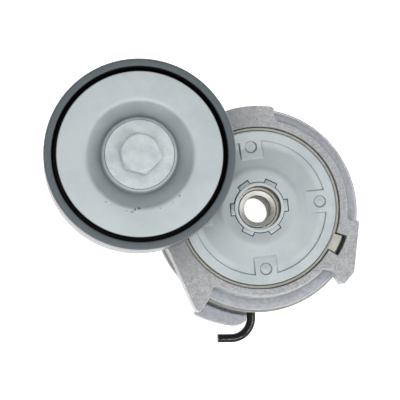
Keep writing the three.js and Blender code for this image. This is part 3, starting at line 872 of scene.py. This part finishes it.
def pivot_tube():
    """The steel tube that the tensioner's bolt goes through, countersunk in front."""
    profile = [
        (TUBE_RELIEF_R, 0, 0.3), (TUBE_R, 0, 0.4),
        (TUBE_R, TUBE_TOP, 0.1), (TUBE_R - 0.3, TUBE_TOP, 0.05),
        (TUBE_BORE_R, COUNTERSINK_BOTTOM, 0.2), (TUBE_BORE_R, NECK_BOTTOM, 0.2),
        (TUBE_RELIEF_R, NECK_BOTTOM - 1, 0.3),
    ]
    tube = turned("pivot_tube", profile, MEDIUM, (0, 0), "tube_steel", TUBE, BORE_SHADE)
    wall = (TUBE_RELIEF_R + TUBE_R) / 2
    top = COUNTERSINK_BOTTOM - 0.2
    # painted shade: the bore below the countersink takes the dark bore material
    paint_faces(tube, 1, lambda at, normal: math.hypot(*at[:2]) < wall and at[2] < top)


def lug_angle(i):
    return LUG_ANGLE + i * 360 / LUG_COUNT


def hub_collar():
    """The collar pressed over the tube, with six lugs bent into the front plate."""
    profile = [
        (TUBE_R + GAP, COLLAR_BOTTOM, 0.3), (COLLAR_R, COLLAR_BOTTOM, 0.3),
        (COLLAR_R, COLLAR_TOP, 0.45), (COLLAR_BORE_R, COLLAR_TOP, 0.35),
        (COLLAR_BORE_R, COLLAR_STEP), (TUBE_R + GAP, COLLAR_STEP),
    ]
    collar = revolve("fine_hub_collar", profile)
    length = LUG_R - COLLAR_BORE_R - 0.5
    middle = LUG_R - length / 2
    lugs = []
    for i in range(LUG_COUNT):
        lug = bar("lug", length, LUG_WIDTH, LUG_BOTTOM, COLLAR_TOP - 0.6, middle, lug_angle(i))
        lugs.append(soften(lug, 0.25))
    combine(collar, lugs, "UNION")
    add(collar, "hub_collar", "zinc_plate", ZINC, BORE_SHADE, TUBE)
    bore = COLLAR_BORE_R + 0.05
    # painted shade: the collar's inner walls take the dark bore material; its ledges take the paler
    # tube steel
    paint_faces(collar, 1, lambda at, normal: math.hypot(*at[:2]) < bore and abs(normal.z) < 0.5)
    paint_faces(collar, 2, lambda at, normal: math.hypot(*at[:2]) < bore and abs(normal.z) >= 0.5)


def plate_heights(radii, columns):
    """The pressed shape of the front plate, as the height of its face over a polar grid."""
    crest = [
        (PLATE_HOLE_R, 31.3), (12.4, 31.5), (14, 31.7), (15.6, 31.86),
        (16.6, 31.8), (18.2, 31.48), (22, 31.0), (27, 30.45),
        (28.6, PLATE_FIELD), (PLATE_R, PLATE_FIELD),
    ]
    samples = np.linspace(PLATE_HOLE_R, PLATE_R, 400)
    line = np.interp(samples, *np.array(crest).T)
    window = np.hanning(31)
    line = np.convolve(np.pad(line, 15, "edge"), window / window.sum(), "valid")
    field = np.interp(radii, samples, line)[:, None] * np.ones(columns)
    turn = np.arange(columns) * 2 * math.pi / columns
    inside = (radii[:, None] - STEP_R) * np.ones(columns)
    dimple = np.full(inside.shape, -9.0)
    for degrees in PLATE_PADS:
        along = radii[:, None] * np.cos(turn - math.radians(degrees))
        across = radii[:, None] * np.sin(turn - math.radians(degrees))
        half = PAD_WIDTH / 2 - np.abs(across) + 0.0 * along
        pad = np.minimum(half, (along - PAD_INNER_R) * 0.5)
        inside = np.maximum(inside, pad)
        dimple = np.maximum(dimple, DIMPLE_R - np.hypot(along - DIMPLE_AT, across))
    lift = smooth_step(inside, -0.3, 0.2)
    level = np.maximum(field, PLATE_TOP)
    heights = field + (level - field) * lift
    floor = np.clip(dimple / DIMPLE_R, 0, 1) ** 2 * 0.25
    return heights - smooth_step(dimple, -0.15, 0.35) * (DIMPLE_DEPTH - floor)


def smooth_step(value, low, high):
    t = np.clip((value - low) / (high - low), 0, 1)
    return t * t * (3 - 2 * t)


def front_plate():
    """The pressed cover: raised rim and pads, a low crest round the hub, notches for the lugs."""
    columns = 900
    face = np.concatenate(
        [
            np.arange(PLATE_HOLE_R, PLATE_CREST_END, 0.45),
            np.arange(PLATE_CREST_END, STEP_R - 0.6, 0.22),
            np.arange(STEP_R - 0.6, STEP_R + 0.6, 0.08),
            np.arange(STEP_R + 0.6, PLATE_R - PLATE_EDGE_ROUND, 0.6),
        ]
    )
    heights = plate_heights(face, columns)
    edge = np.radians(np.linspace(0, 90, 5))
    edge_r = PLATE_R - PLATE_EDGE_ROUND + PLATE_EDGE_ROUND * np.cos(edge)
    edge_z = PLATE_TOP - PLATE_EDGE_ROUND + PLATE_EDGE_ROUND * np.sin(edge)
    under = np.arange(PLATE_HOLE_R, PLATE_R, 2)
    under_z = plate_heights(under, columns).mean(axis=1) - PLATE_THICKNESS
    ones = np.ones(columns)
    radii = np.concatenate([under, [PLATE_R], edge_r, face[::-1]])[:, None] * ones
    rows = [
        under_z[:, None] * ones,
        (PLATE_FIELD - PLATE_THICKNESS) * ones[None, :],
        edge_z[:, None] * ones,
        heights[::-1],
    ]
    plate = loops_solid("fine_front_plate", radii, np.concatenate(rows))
    length = LUG_R + GAP - COLLAR_R + 1
    middle = LUG_R + GAP - length / 2
    width = LUG_WIDTH + 2 * GAP
    notches = [
        bar("notch", length, width, 27, CUT_TOP, middle, lug_angle(i)) for i in range(LUG_COUNT)
    ]
    combine(plate, notches, "DIFFERENCE")
    add(plate, "front_plate", "zinc_plate", ZINC, sharp=50)


def torsion_spring():
    """Two and a bit turns of round wire between the base and the arm."""
    steps = round(SPRING_TURNS * 72)
    turn = np.linspace(0, SPRING_TURNS * 2 * math.pi, steps + 1)
    heights = SPRING_START_Z + turn / (2 * math.pi) * SPRING_PITCH
    outward = np.stack([np.cos(turn), np.sin(turn), 0 * turn], axis=1)
    route = outward * SPRING_R + np.stack([0 * turn, 0 * turn, heights], axis=1)
    spring = sweep("fine_torsion_spring", route, arc(SPRING_WIRE_R, 0, 337.5, 15), outward)
    add(soften(spring, 0.3, 2, 60), "torsion_spring", "black_steel", BLACK)


def nylon_ring(node, material, segments, inner, outer, edge=0.25):
    """A ring with small rounded edges, as high as its CAD node."""
    low, high = node_span(node)
    profile = [(inner, low, edge), (outer, low, edge), (outer, high, edge), (inner, high, edge)]
    turned(node, profile, segments, (0, 0), "nylon", material)


def base_rings():
    nylon_ring("thrust_washer", NYLON, MEDIUM, TUBE_R + GAP, THRUST_WASHER_R)
    nylon_ring("pivot_bush", NYLON, MEDIUM, TUBE_R + GAP, COLLAR_R)
    # the wear ring takes the darker nylon, painted shade of the slot it sits in
    nylon_ring("rim_wear_ring", SHADED_NYLON, FINEST, SKIRT_BORE_R, BASE_R + 0.5)


# ---- arm


def arm_lugs():
    """The three raised lugs of the ring, the lower one running on as the beam to the pulley."""
    top_end = (5.6, math.sqrt(LUG_ARC_R**2 - 5.6**2))
    first = math.degrees(math.acos(top_end[0] / LUG_ARC_R))
    top = [
        (-30, 26), (8, 30),
        *bend((13, 35.6), (6.6, 37.2), (6.9, 41)),
        *bend((7.2, 42.6), (7.3, 43.8), top_end),
        *arc(LUG_ARC_R, first + 2, 122, 20),
    ]
    right = [
        (32, -6), (37.6, -1), (38.5, -6, 2.2), (43.7, -5.7, 1),
        (40.9, -28.3, 1.2), (35.8, -34.2, 1.2), (32, -27.4, 2.5), (26.5, -26.6),
    ]
    lower = [
        (-15, -34.6), (-20.2, -33.8, 1.5), (-22.8, -40, 0.8),
        (-26.5, -45.4, 1), (-28.8, -42.5, 1), (-38.8, -19.6), (-46, -6, 8), (-64, 12),
        tuple(PULLEY),
        (-48, 31.7), (-23.5, 37.6), (-30, 20), (-33, -16),
    ]
    outlines = [top, right[::-1], lower[::-1]]
    return [slab("lug", rounded(outline), BEAM_BOTTOM, ARM_TOP) for outline in outlines]


def sector(inner, outer, angles, end_outer=None, end_round=0):
    """Outline of a stretch of flat ring, whose outer edge may draw in towards its far end."""
    t = np.linspace(0, 1, 25)
    turn = np.radians(angles[0] + (angles[1] - angles[0]) * t)
    end_outer = outer if end_outer is None else end_outer
    reach = outer + (end_outer - outer) * t - end_round * np.maximum(0, (t - 0.75) / 0.25) ** 2
    outside = np.stack([reach * np.cos(turn), reach * np.sin(turn)], axis=1)
    inside = np.stack([inner * np.cos(turn), inner * np.sin(turn)], axis=1)
    return [*outside, *inside[::-1]]


def arm_finger():
    """The stop finger outside the base wall, and the neck that carries it."""
    top = BEAM_BOTTOM + 3
    finger = sector(FINGER_INNER_R, FINGER_ROOT_R, FINGER_ANGLES, FINGER_TIP_R, FINGER_END_ROUND)
    return [
        slab("finger", finger, FINGER_BOTTOM, FINGER_TOP),
        slab("root", sector(FINGER_INNER_R, ROOT_OUTER_R, ROOT_ANGLES), FINGER_BOTTOM, top),
        slab("neck", sector(SHOULDER_R - 2, ROOT_OUTER_R, ROOT_ANGLES), SKIRT_BOTTOM + 0.4, top + 0.3),
    ]


def arm_casting():
    """The arm: ring, band, shoulder and skirt turned as one, with lugs, beam, boss and finger."""
    profile = [
        (0, SKIRT_BOTTOM), (SHOULDER_R - 0.7, SKIRT_BOTTOM, 0.5),
        (SHOULDER_R, SHOULDER_TOP, 1.6), (SHOULDER_R - 2.6, SHOULDER_TOP + 0.6, 1.5),
        (BAND_R + 0.9, SHOULDER_TOP + 0.4, 1.1), (BAND_R, ARM_TOP), (0, ARM_TOP),
    ]
    arm = revolve("fine_arm_casting", profile, FINEST)
    boss = disc("boss", BOSS_R, BOSS_BOTTOM, BOSS_TOP, MEDIUM, PULLEY)
    nose = disc("nose", NOSE_R, NOSE_BOTTOM, NOSE_TOP, MEDIUM, PULLEY)
    finger, root, neck = arm_finger()
    combine(neck, [root, finger], "UNION")
    combine(arm, [neck, *arm_lugs(), boss, nose], "UNION")
    hub_bore = COLLAR_R + GAP
    profile = [
        (hub_bore, 0), (FINGER_INNER_R - 0.2, 0),
        (FINGER_INNER_R - 0.2, SKIRT_BOTTOM - 0.3), (SKIRT_BORE_R, SKIRT_BOTTOM - 0.3),
        (SKIRT_BORE_R, 20), (RING_R, 20.8), (RING_R, WEB_BOTTOM), (hub_bore, WEB_BOTTOM),
    ]
    cavity = revolve("cavity", profile)
    recess = disc("recess", RING_R, SHELF_TOP, CUT_TOP, FINEST)
    combine(arm, [cavity, recess], "DIFFERENCE")
    profile = [
        (hub_bore - 1, ARM_HUB_BOTTOM), (ARM_HUB_R, ARM_HUB_BOTTOM),
        (ARM_HUB_R, WEB_BOTTOM + 1), (hub_bore - 1, WEB_BOTTOM + 1),
    ]
    hub = revolve("hub", profile, MEDIUM)
    combine(arm, [hub], "UNION")
    hub_cut = disc("hub_cut", hub_bore, 0, CUT_TOP)
    notch = slab("notch", sector(RING_R - 1, NOTCH_R, NOTCH_ANGLES), NOTCH_BOTTOM, CUT_TOP)
    bolt_hole = disc("bolt_hole", BOLT_R + GAP, BOLT_BOTTOM - 1, BOLT_HOLE_TOP, 48, PULLEY)
    combine(arm, [hub_cut, notch, bolt_hole], "DIFFERENCE")
    cast_skin(arm, ARM_VOXEL, 2)
    ripple(arm, 6, 0.07)
    add(arm, "arm_casting", "cast_aluminium", CAST, sharp=60)


def friction_ring():
    """The nylon ring under the plate's edge, with the tab that shows in the arm's notch."""
    low = SHELF_TOP + GAP
    under_plate = PLATE_FIELD - PLATE_THICKNESS - GAP
    profile = [
        (PLATE_R - 3, low), (RING_R - GAP, low),
        (RING_R - GAP, LIP_TOP, 0.3), (PLATE_R + GAP, LIP_TOP, 0.3),
        (PLATE_R + GAP, under_plate), (PLATE_R - 3, under_plate),
    ]
    ring = revolve("fine_friction_ring", profile, FINEST)
    tab = slab("tab", sector(RING_R - 1, TAB_R, TAB_ANGLES), low, PLATE_TOP - 0.1)
    combine(ring, [soften(tab, 0.3)], "UNION")
    add(ring, "friction_ring", "nylon", NYLON)


def locking_pin():
    """The hexagonal rod that holds the arm wound up for fitting."""
    corner = PIN_ACROSS_FLATS / 2 / math.cos(math.pi / 6)
    section = np.array(rounded(hexagon(corner, PIN_ROLL, 0.35), 3))
    turn = np.radians(np.linspace(0, -90, 33))
    centre = np.array([PIN_X - PIN_BEND_R, PIN_BEND_Y])
    straight = [(PIN_X, y) for y in np.linspace(PIN_INNER_Y, PIN_BEND_Y, 9)[:-1]]
    curve = [centre + PIN_BEND_R * np.array([math.cos(a), math.sin(a)]) for a in turn]
    low_y = PIN_BEND_Y - PIN_BEND_R
    tail = [(x, low_y) for x in np.linspace(centre[0], PIN_END_X, 9)[1:]]
    route = [(x, y, PIN_Z) for x, y in (*straight, *curve, *tail)]
    outward = [(1, 0, 0)] * len(straight)
    outward += [(math.cos(a), math.sin(a), 0) for a in turn]
    outward += [(0, -1, 0)] * len(tail)
    pin = sweep("fine_locking_pin", route, section, outward)
    soften(pin, 0.5, 2, 50)
    add(pin, "locking_pin", "black_steel", BLACK, CUT, PIN_HIGHLIGHT, sharp=50)
    paint_faces(pin, 1, lambda at, normal: at[0] < PIN_END_X + 0.6 and normal.x < -0.3)
    # painted highlight: the rod's outer corner that faces up towards the lights
    paint_faces(pin, 2, lambda at, normal: 0.76 < normal.z < 0.99 and normal.x - normal.y > 0.2)


# ---- pulley


def pulley_rim():
    """The pulley: flat-backed rim, web and bearing seat, with coated and bare stretches."""
    hub_rear = BEARING_REAR - GAP - 1.2
    hub_front = BEARING_FRONT + 2.6
    groove_front = BEARING_FRONT + 1.8
    bore = BEARING_R + GAP
    profile = [
        (bore - 1.5, hub_rear, 0.3), (PULLEY_HUB_R, hub_rear, 0.5),
        (PULLEY_HUB_R, BEARING_MIDDLE - 2, 1.5), (RIM_INNER_R, BEARING_MIDDLE - 2, 1.5),
        (RIM_INNER_R, PULLEY_REAR, 0.5), (PULLEY_R, PULLEY_REAR, 1.1),
        (PULLEY_R, PULLEY_FRONT, 1.1), (RIM_INNER_R, PULLEY_FRONT, 0.7),
        (RIM_INNER_R, BEARING_MIDDLE + 2, 1.5), (PULLEY_HUB_R, BEARING_MIDDLE + 2, 1.5),
        (PULLEY_HUB_R, hub_front, 0.5), (bore, hub_front, 0.3),
        (bore, groove_front), (SNAP_GROOVE_R, groove_front),
        (SNAP_GROOVE_R, BEARING_FRONT + GAP), (bore, BEARING_FRONT + GAP),
        (bore, BEARING_REAR - GAP), (bore - 1.5, BEARING_REAR - GAP),
    ]
    rim = turned("pulley_rim", profile, FINEST, PULLEY, "rim_coating", COATING, TRACK, INSIDE)
    track = PULLEY_R - 0.1
    inside = RIM_INNER_R + 0.05
    front = PULLEY_FRONT - 0.9
    paint_faces(rim, 1, lambda at, normal: math.hypot(*(at[:2] - PULLEY)) > track)
    # painted shade: the inside of the rim takes the near-black coating
    paint_faces(
        rim, 2, lambda at, normal: math.hypot(*(at[:2] - PULLEY)) < inside and at[2] < front
    )


def front_dust_shield():
    """The pressed dish over the bearing: flat rim, soft bend, cone down to the washer's seat."""
    seat = BEARING_FRONT + GAP
    t = SHIELD_THICKNESS
    profile = [
        (BOLT_R + 0.5, seat), (SHIELD_SEAT_R, seat, 1.5),
        (SHIELD_FLAT_R, SHIELD_TOP - t, 3), (SHIELD_R, SHIELD_TOP - t, 0.2),
        (SHIELD_R, SHIELD_TOP, 0.45), (SHIELD_FLAT_R - 0.6, SHIELD_TOP, 3.8),
        (SHIELD_SEAT_R + 0.2, seat + t, 1), (BOLT_R + 0.5, seat + t),
    ]
    turned("front_dust_shield", profile, FINEST, PULLEY, "shield_zinc", SHIELD, sharp=50)


def rear_dust_shield():
    """The matching dish behind the bearing, round the arm's boss."""
    seat = BEARING_REAR - GAP
    t = SHIELD_THICKNESS
    flat = PULLEY_REAR + 1.2
    profile = [
        (NOSE_R + GAP, seat - t), (BOSS_R + 0.5, seat - t, 0.8),
        (17.4, flat, 2), (SHIELD_R, flat, 0.4), (SHIELD_R, flat + t, 0.3), (18, flat + t, 2.5),
        (BOSS_R + 1.1, seat, 1), (NOSE_R + GAP, seat),
    ]
    turned("rear_dust_shield", profile, FINEST, PULLEY, "shield_zinc", SHIELD, sharp=50)


def bolt_washer():
    """The thick washer under the bolt head, with a turned chamfer."""
    inner = BOLT_R + 0.5
    profile = [
        (inner, WASHER_BOTTOM, 0.2), (WASHER_R, WASHER_BOTTOM, 0.5),
        (WASHER_R, WASHER_TOP - 0.65, 0.25), (WASHER_R - 0.85, WASHER_TOP - 0.05, 0.1),
        (WASHER_R - 1, WASHER_TOP - 0.45), (WASHER_R - 1.15, WASHER_TOP, 0.1),
        (inner, WASHER_TOP, 0.3),
    ]
    turned("bolt_washer", profile, FINE, PULLEY, "galvanised_fastener", FASTENER, sharp=25)


def pulley_bolt():
    """The hexagon bolt: chamfered head, plain shank, rings that stand for thread at its end."""
    head_bottom = WASHER_TOP + GAP
    corner = HEX_ACROSS_FLATS / 2 / math.cos(math.pi / 6)
    outline = rounded(hexagon(corner, HEX_TURN, 0.4, PULLEY), 4)
    head = slab("fine_pulley_bolt", outline, head_bottom, BOLT_TOP)
    face = HEX_ACROSS_FLATS / 2 - 0.4
    fall = (corner + 1 - face) * 0.55
    profile = [
        (0, head_bottom - 1), (corner + 1, head_bottom - 1),
        (corner + 1, BOLT_TOP - fall), (face, BOLT_TOP, 1.2),
        (face - 3, BOLT_TOP + 0.04, 1), (0, BOLT_TOP + 0.04),
    ]
    dome = revolve("dome", profile, 128, PULLEY)
    combine(head, [dome], "INTERSECT")
    soften(head, 0.18, 2, 28)
    thread = []
    for i in range(THREAD_TURNS):
        z = BOLT_BOTTOM + 1 + i * THREAD_PITCH
        thread += [(THREAD_ROOT_R, z), (BOLT_R, z + THREAD_PITCH / 2)]
    thread_top = BOLT_BOTTOM + 1 + THREAD_TURNS * THREAD_PITCH
    profile = [
        (0, BOLT_BOTTOM), (BOLT_R - 1, BOLT_BOTTOM),
        *thread,
        (THREAD_ROOT_R, thread_top), (BOLT_R, thread_top + 1),
        (BOLT_R, head_bottom + 1), (0, head_bottom + 1),
    ]
    shank = revolve("shank", profile, 64, PULLEY)
    combine(head, [shank], "UNION")
    add(head, "pulley_bolt", "galvanised_fastener", FASTENER, sharp=25)


def snap_ring():
    """The spring ring that keeps the bearing in, open at one side."""
    bottom = BEARING_FRONT + 2 * GAP
    inner = BEARING_R - SNAP_WIDTH
    outer = SNAP_GROOVE_R - GAP
    top = bottom + SNAP_THICKNESS
    profile = [(inner, bottom, 0.2), (outer, bottom, 0.2), (outer, top, 0.2), (inner, top, 0.2)]
    ring = revolve("fine_snap_ring", profile, 160, PULLEY)
    gap = bar("gap", 8, 5, bottom - 1, bottom + 2, BEARING_R, 90)
    gap.data.transform(Matrix.Translation((*(PULLEY * MM), 0)))
    combine(ring, [gap], "DIFFERENCE")
    add(soften(ring, 0.15), "snap_ring", "bearing_steel", BEARING)


def groove(ring_r, side):
    """The raceway's arc, in profile."""
    deep = BALL_R + 0.12
    reach = math.sqrt(deep**2 - (ring_r - BALL_CIRCLE_R) ** 2)
    sign = math.copysign(1, ring_r - BALL_CIRCLE_R)
    heights = side * np.linspace(-reach, reach, 17)
    return [(BALL_CIRCLE_R + sign * math.sqrt(deep**2 - z * z), BEARING_MIDDLE + z) for z in heights]


def bearing_rings():
    profile = [
        (BEARING_BORE_R, BEARING_REAR, 0.6), (INNER_RING_R, BEARING_REAR, 0.2),
        *groove(INNER_RING_R, 1),
        (INNER_RING_R, BEARING_FRONT, 0.2), (BEARING_BORE_R, BEARING_FRONT, 0.6),
    ]
    turned("bearing_inner_ring", profile, 128, PULLEY, "bearing_steel", BEARING)
    profile = [
        (OUTER_RING_BORE_R, BEARING_REAR, 0.2), (BEARING_R, BEARING_REAR, 0.8),
        (BEARING_R, BEARING_FRONT, 0.8), (OUTER_RING_BORE_R, BEARING_FRONT, 0.2),
        *groove(OUTER_RING_BORE_R, -1),
    ]
    turned("bearing_outer_ring", profile, 160, PULLEY, "bearing_steel", BEARING)


def bearing_balls():
    for i in range(BALL_COUNT):
        turn = 2 * math.pi * i / BALL_COUNT
        spot = PULLEY + BALL_CIRCLE_R * np.array([math.cos(turn), math.sin(turn)])
        half = arc(BALL_R, -90, 90, 24, (0, BEARING_MIDDLE))
        half = [(max(r, 0) if abs(r) > 1e-9 else 0, z) for r, z in half]
        turned(f"bearing_ball_{i + 1}", half, 40, spot, "bearing_steel", BEARING)


def bearing_seals():
    """A rubber seal each side, with a stiffening groove pressed in its face."""
    inner = INNER_RING_R + GAP
    outer = OUTER_RING_BORE_R - GAP
    for node, outside in (("bearing_seal_rear", -1), ("bearing_seal_front", 1)):
        low, high = node_span(node)
        face = high if outside > 0 else low
        dip = face - outside * 0.3
        profile = [(inner, low, 0.1), (outer, low, 0.1), (outer, high, 0.1), (inner, high, 0.1)]
        marks = [(inner + 1, face), (inner + 1.3, dip), (outer - 1.3, dip), (outer - 1, face)]
        if outside > 0:
            profile[3:3] = marks[::-1]
        else:
            profile[1:1] = marks
        turned(node, profile, 128, PULLEY, "seal_rubber", RUBBER)


def bearing_cage():
    """The CAD cage has its right shape, so it only takes the moulded nylon."""
    cage = frame["nodes"]["bearing_cage"]
    cage.data.materials.clear()
    cage.data.materials.append(CAGE_NYLON)


# ---- studio


def studio_floor():
    """A pale floor whose far rim turns up, so that a low view has a pale background too."""
    paint = Paint("studio_floor", roughness=0.9)
    clouds = paint.noise(60)
    tone = paint.mix(clouds, (0.86, 0.86, 0.86), (0.89, 0.89, 0.89))
    paint.feed(paint.shader.inputs["Base Color"], tone)
    paint.shader.inputs["Emission Color"].default_value = (1, 1, 1, 1)
    paint.shader.inputs["Emission Strength"].default_value = FLOOR_GLOW
    profile = [
        (0, -2), (FLOOR_R + 5, -2),
        (FLOOR_R + FLOOR_RISE, FLOOR_RISE), (FLOOR_R + FLOOR_RISE - 5, FLOOR_RISE),
        (FLOOR_R, -0.05, 400), (0, -0.05),
    ]
    floor = revolve("studio_floor", profile, MEDIUM)
    floor.data.materials.append(paint.material)


def studio_sky():
    """A sky that is bright overhead and towards -Y, and dark low down on the other sides."""
    world = bpy.data.worlds.new("studio_sky")
    world.use_nodes = True
    bpy.context.scene.world = world
    nodes = world.node_tree.nodes
    link = world.node_tree.links.new
    direction = nodes.new("ShaderNodeTexCoord")
    lean = nodes.new("ShaderNodeVectorMath")
    lean.operation = "DOT_PRODUCT"
    lean.inputs[1].default_value = SKY_AXIS
    ramp = nodes.new("ShaderNodeValToRGB")
    ramp.color_ramp.interpolation = "EASE"
    stops = ramp.color_ramp.elements
    while len(stops) < len(SKY_STOPS):
        stops.new(0.5)
    for stop, (position, bright) in zip(stops, SKY_STOPS):
        stop.position = position
        stop.color = (bright, bright, bright * 1.01, 1)
    link(direction.outputs["Generated"], lean.inputs[0])
    link(lean.outputs["Value"], ramp.inputs["Fac"])
    link(ramp.outputs["Color"], nodes["Background"].inputs["Color"])
    nodes["Background"].inputs["Strength"].default_value = SKY_STRENGTH


def soft_box(name, place, size, power):
    """A round area light, in metres and watts, that faces the tensioner."""
    light = bpy.data.lights.new(name, "AREA")
    light.shape = "DISK"
    light.size = size
    light.energy = power
    lamp = bpy.data.objects.new(name, light)
    bpy.context.scene.collection.objects.link(lamp)
    lamp.location = place
    lamp.rotation_euler = (-Vector(place)).to_track_quat("-Z", "Y").to_euler()


def camera():
    """A long lens looking almost straight down."""
    lens = bpy.data.cameras.new("camera")
    lens.lens = CAMERA_LENS
    lens.sensor_width = 36
    shot = bpy.data.objects.new("camera", lens)
    bpy.context.scene.collection.objects.link(shot)
    tilt_x, tilt_y, roll = (Matrix.Rotation(a, 4, axis) for a, axis in zip(CAMERA_TILT, "XYZ"))
    shot.matrix_world = Matrix.Translation(Vector(CAMERA_AT) * MM) @ (roll @ tilt_y @ tilt_x).inverted()
    bpy.context.scene.camera = shot


camera()
studio_floor()
studio_sky()
for box in SOFT_BOXES:
    soft_box(*box)
bpy.context.scene.view_settings.view_transform = "Standard"

base_housing()
pivot_tube()
hub_collar()
front_plate()
torsion_spring()
base_rings()
arm_casting()
friction_ring()
locking_pin()
pulley_rim()
front_dust_shield()
rear_dust_shield()
bolt_washer()
pulley_bolt()
snap_ring()
bearing_rings()
bearing_balls()
bearing_seals()
bearing_cage()
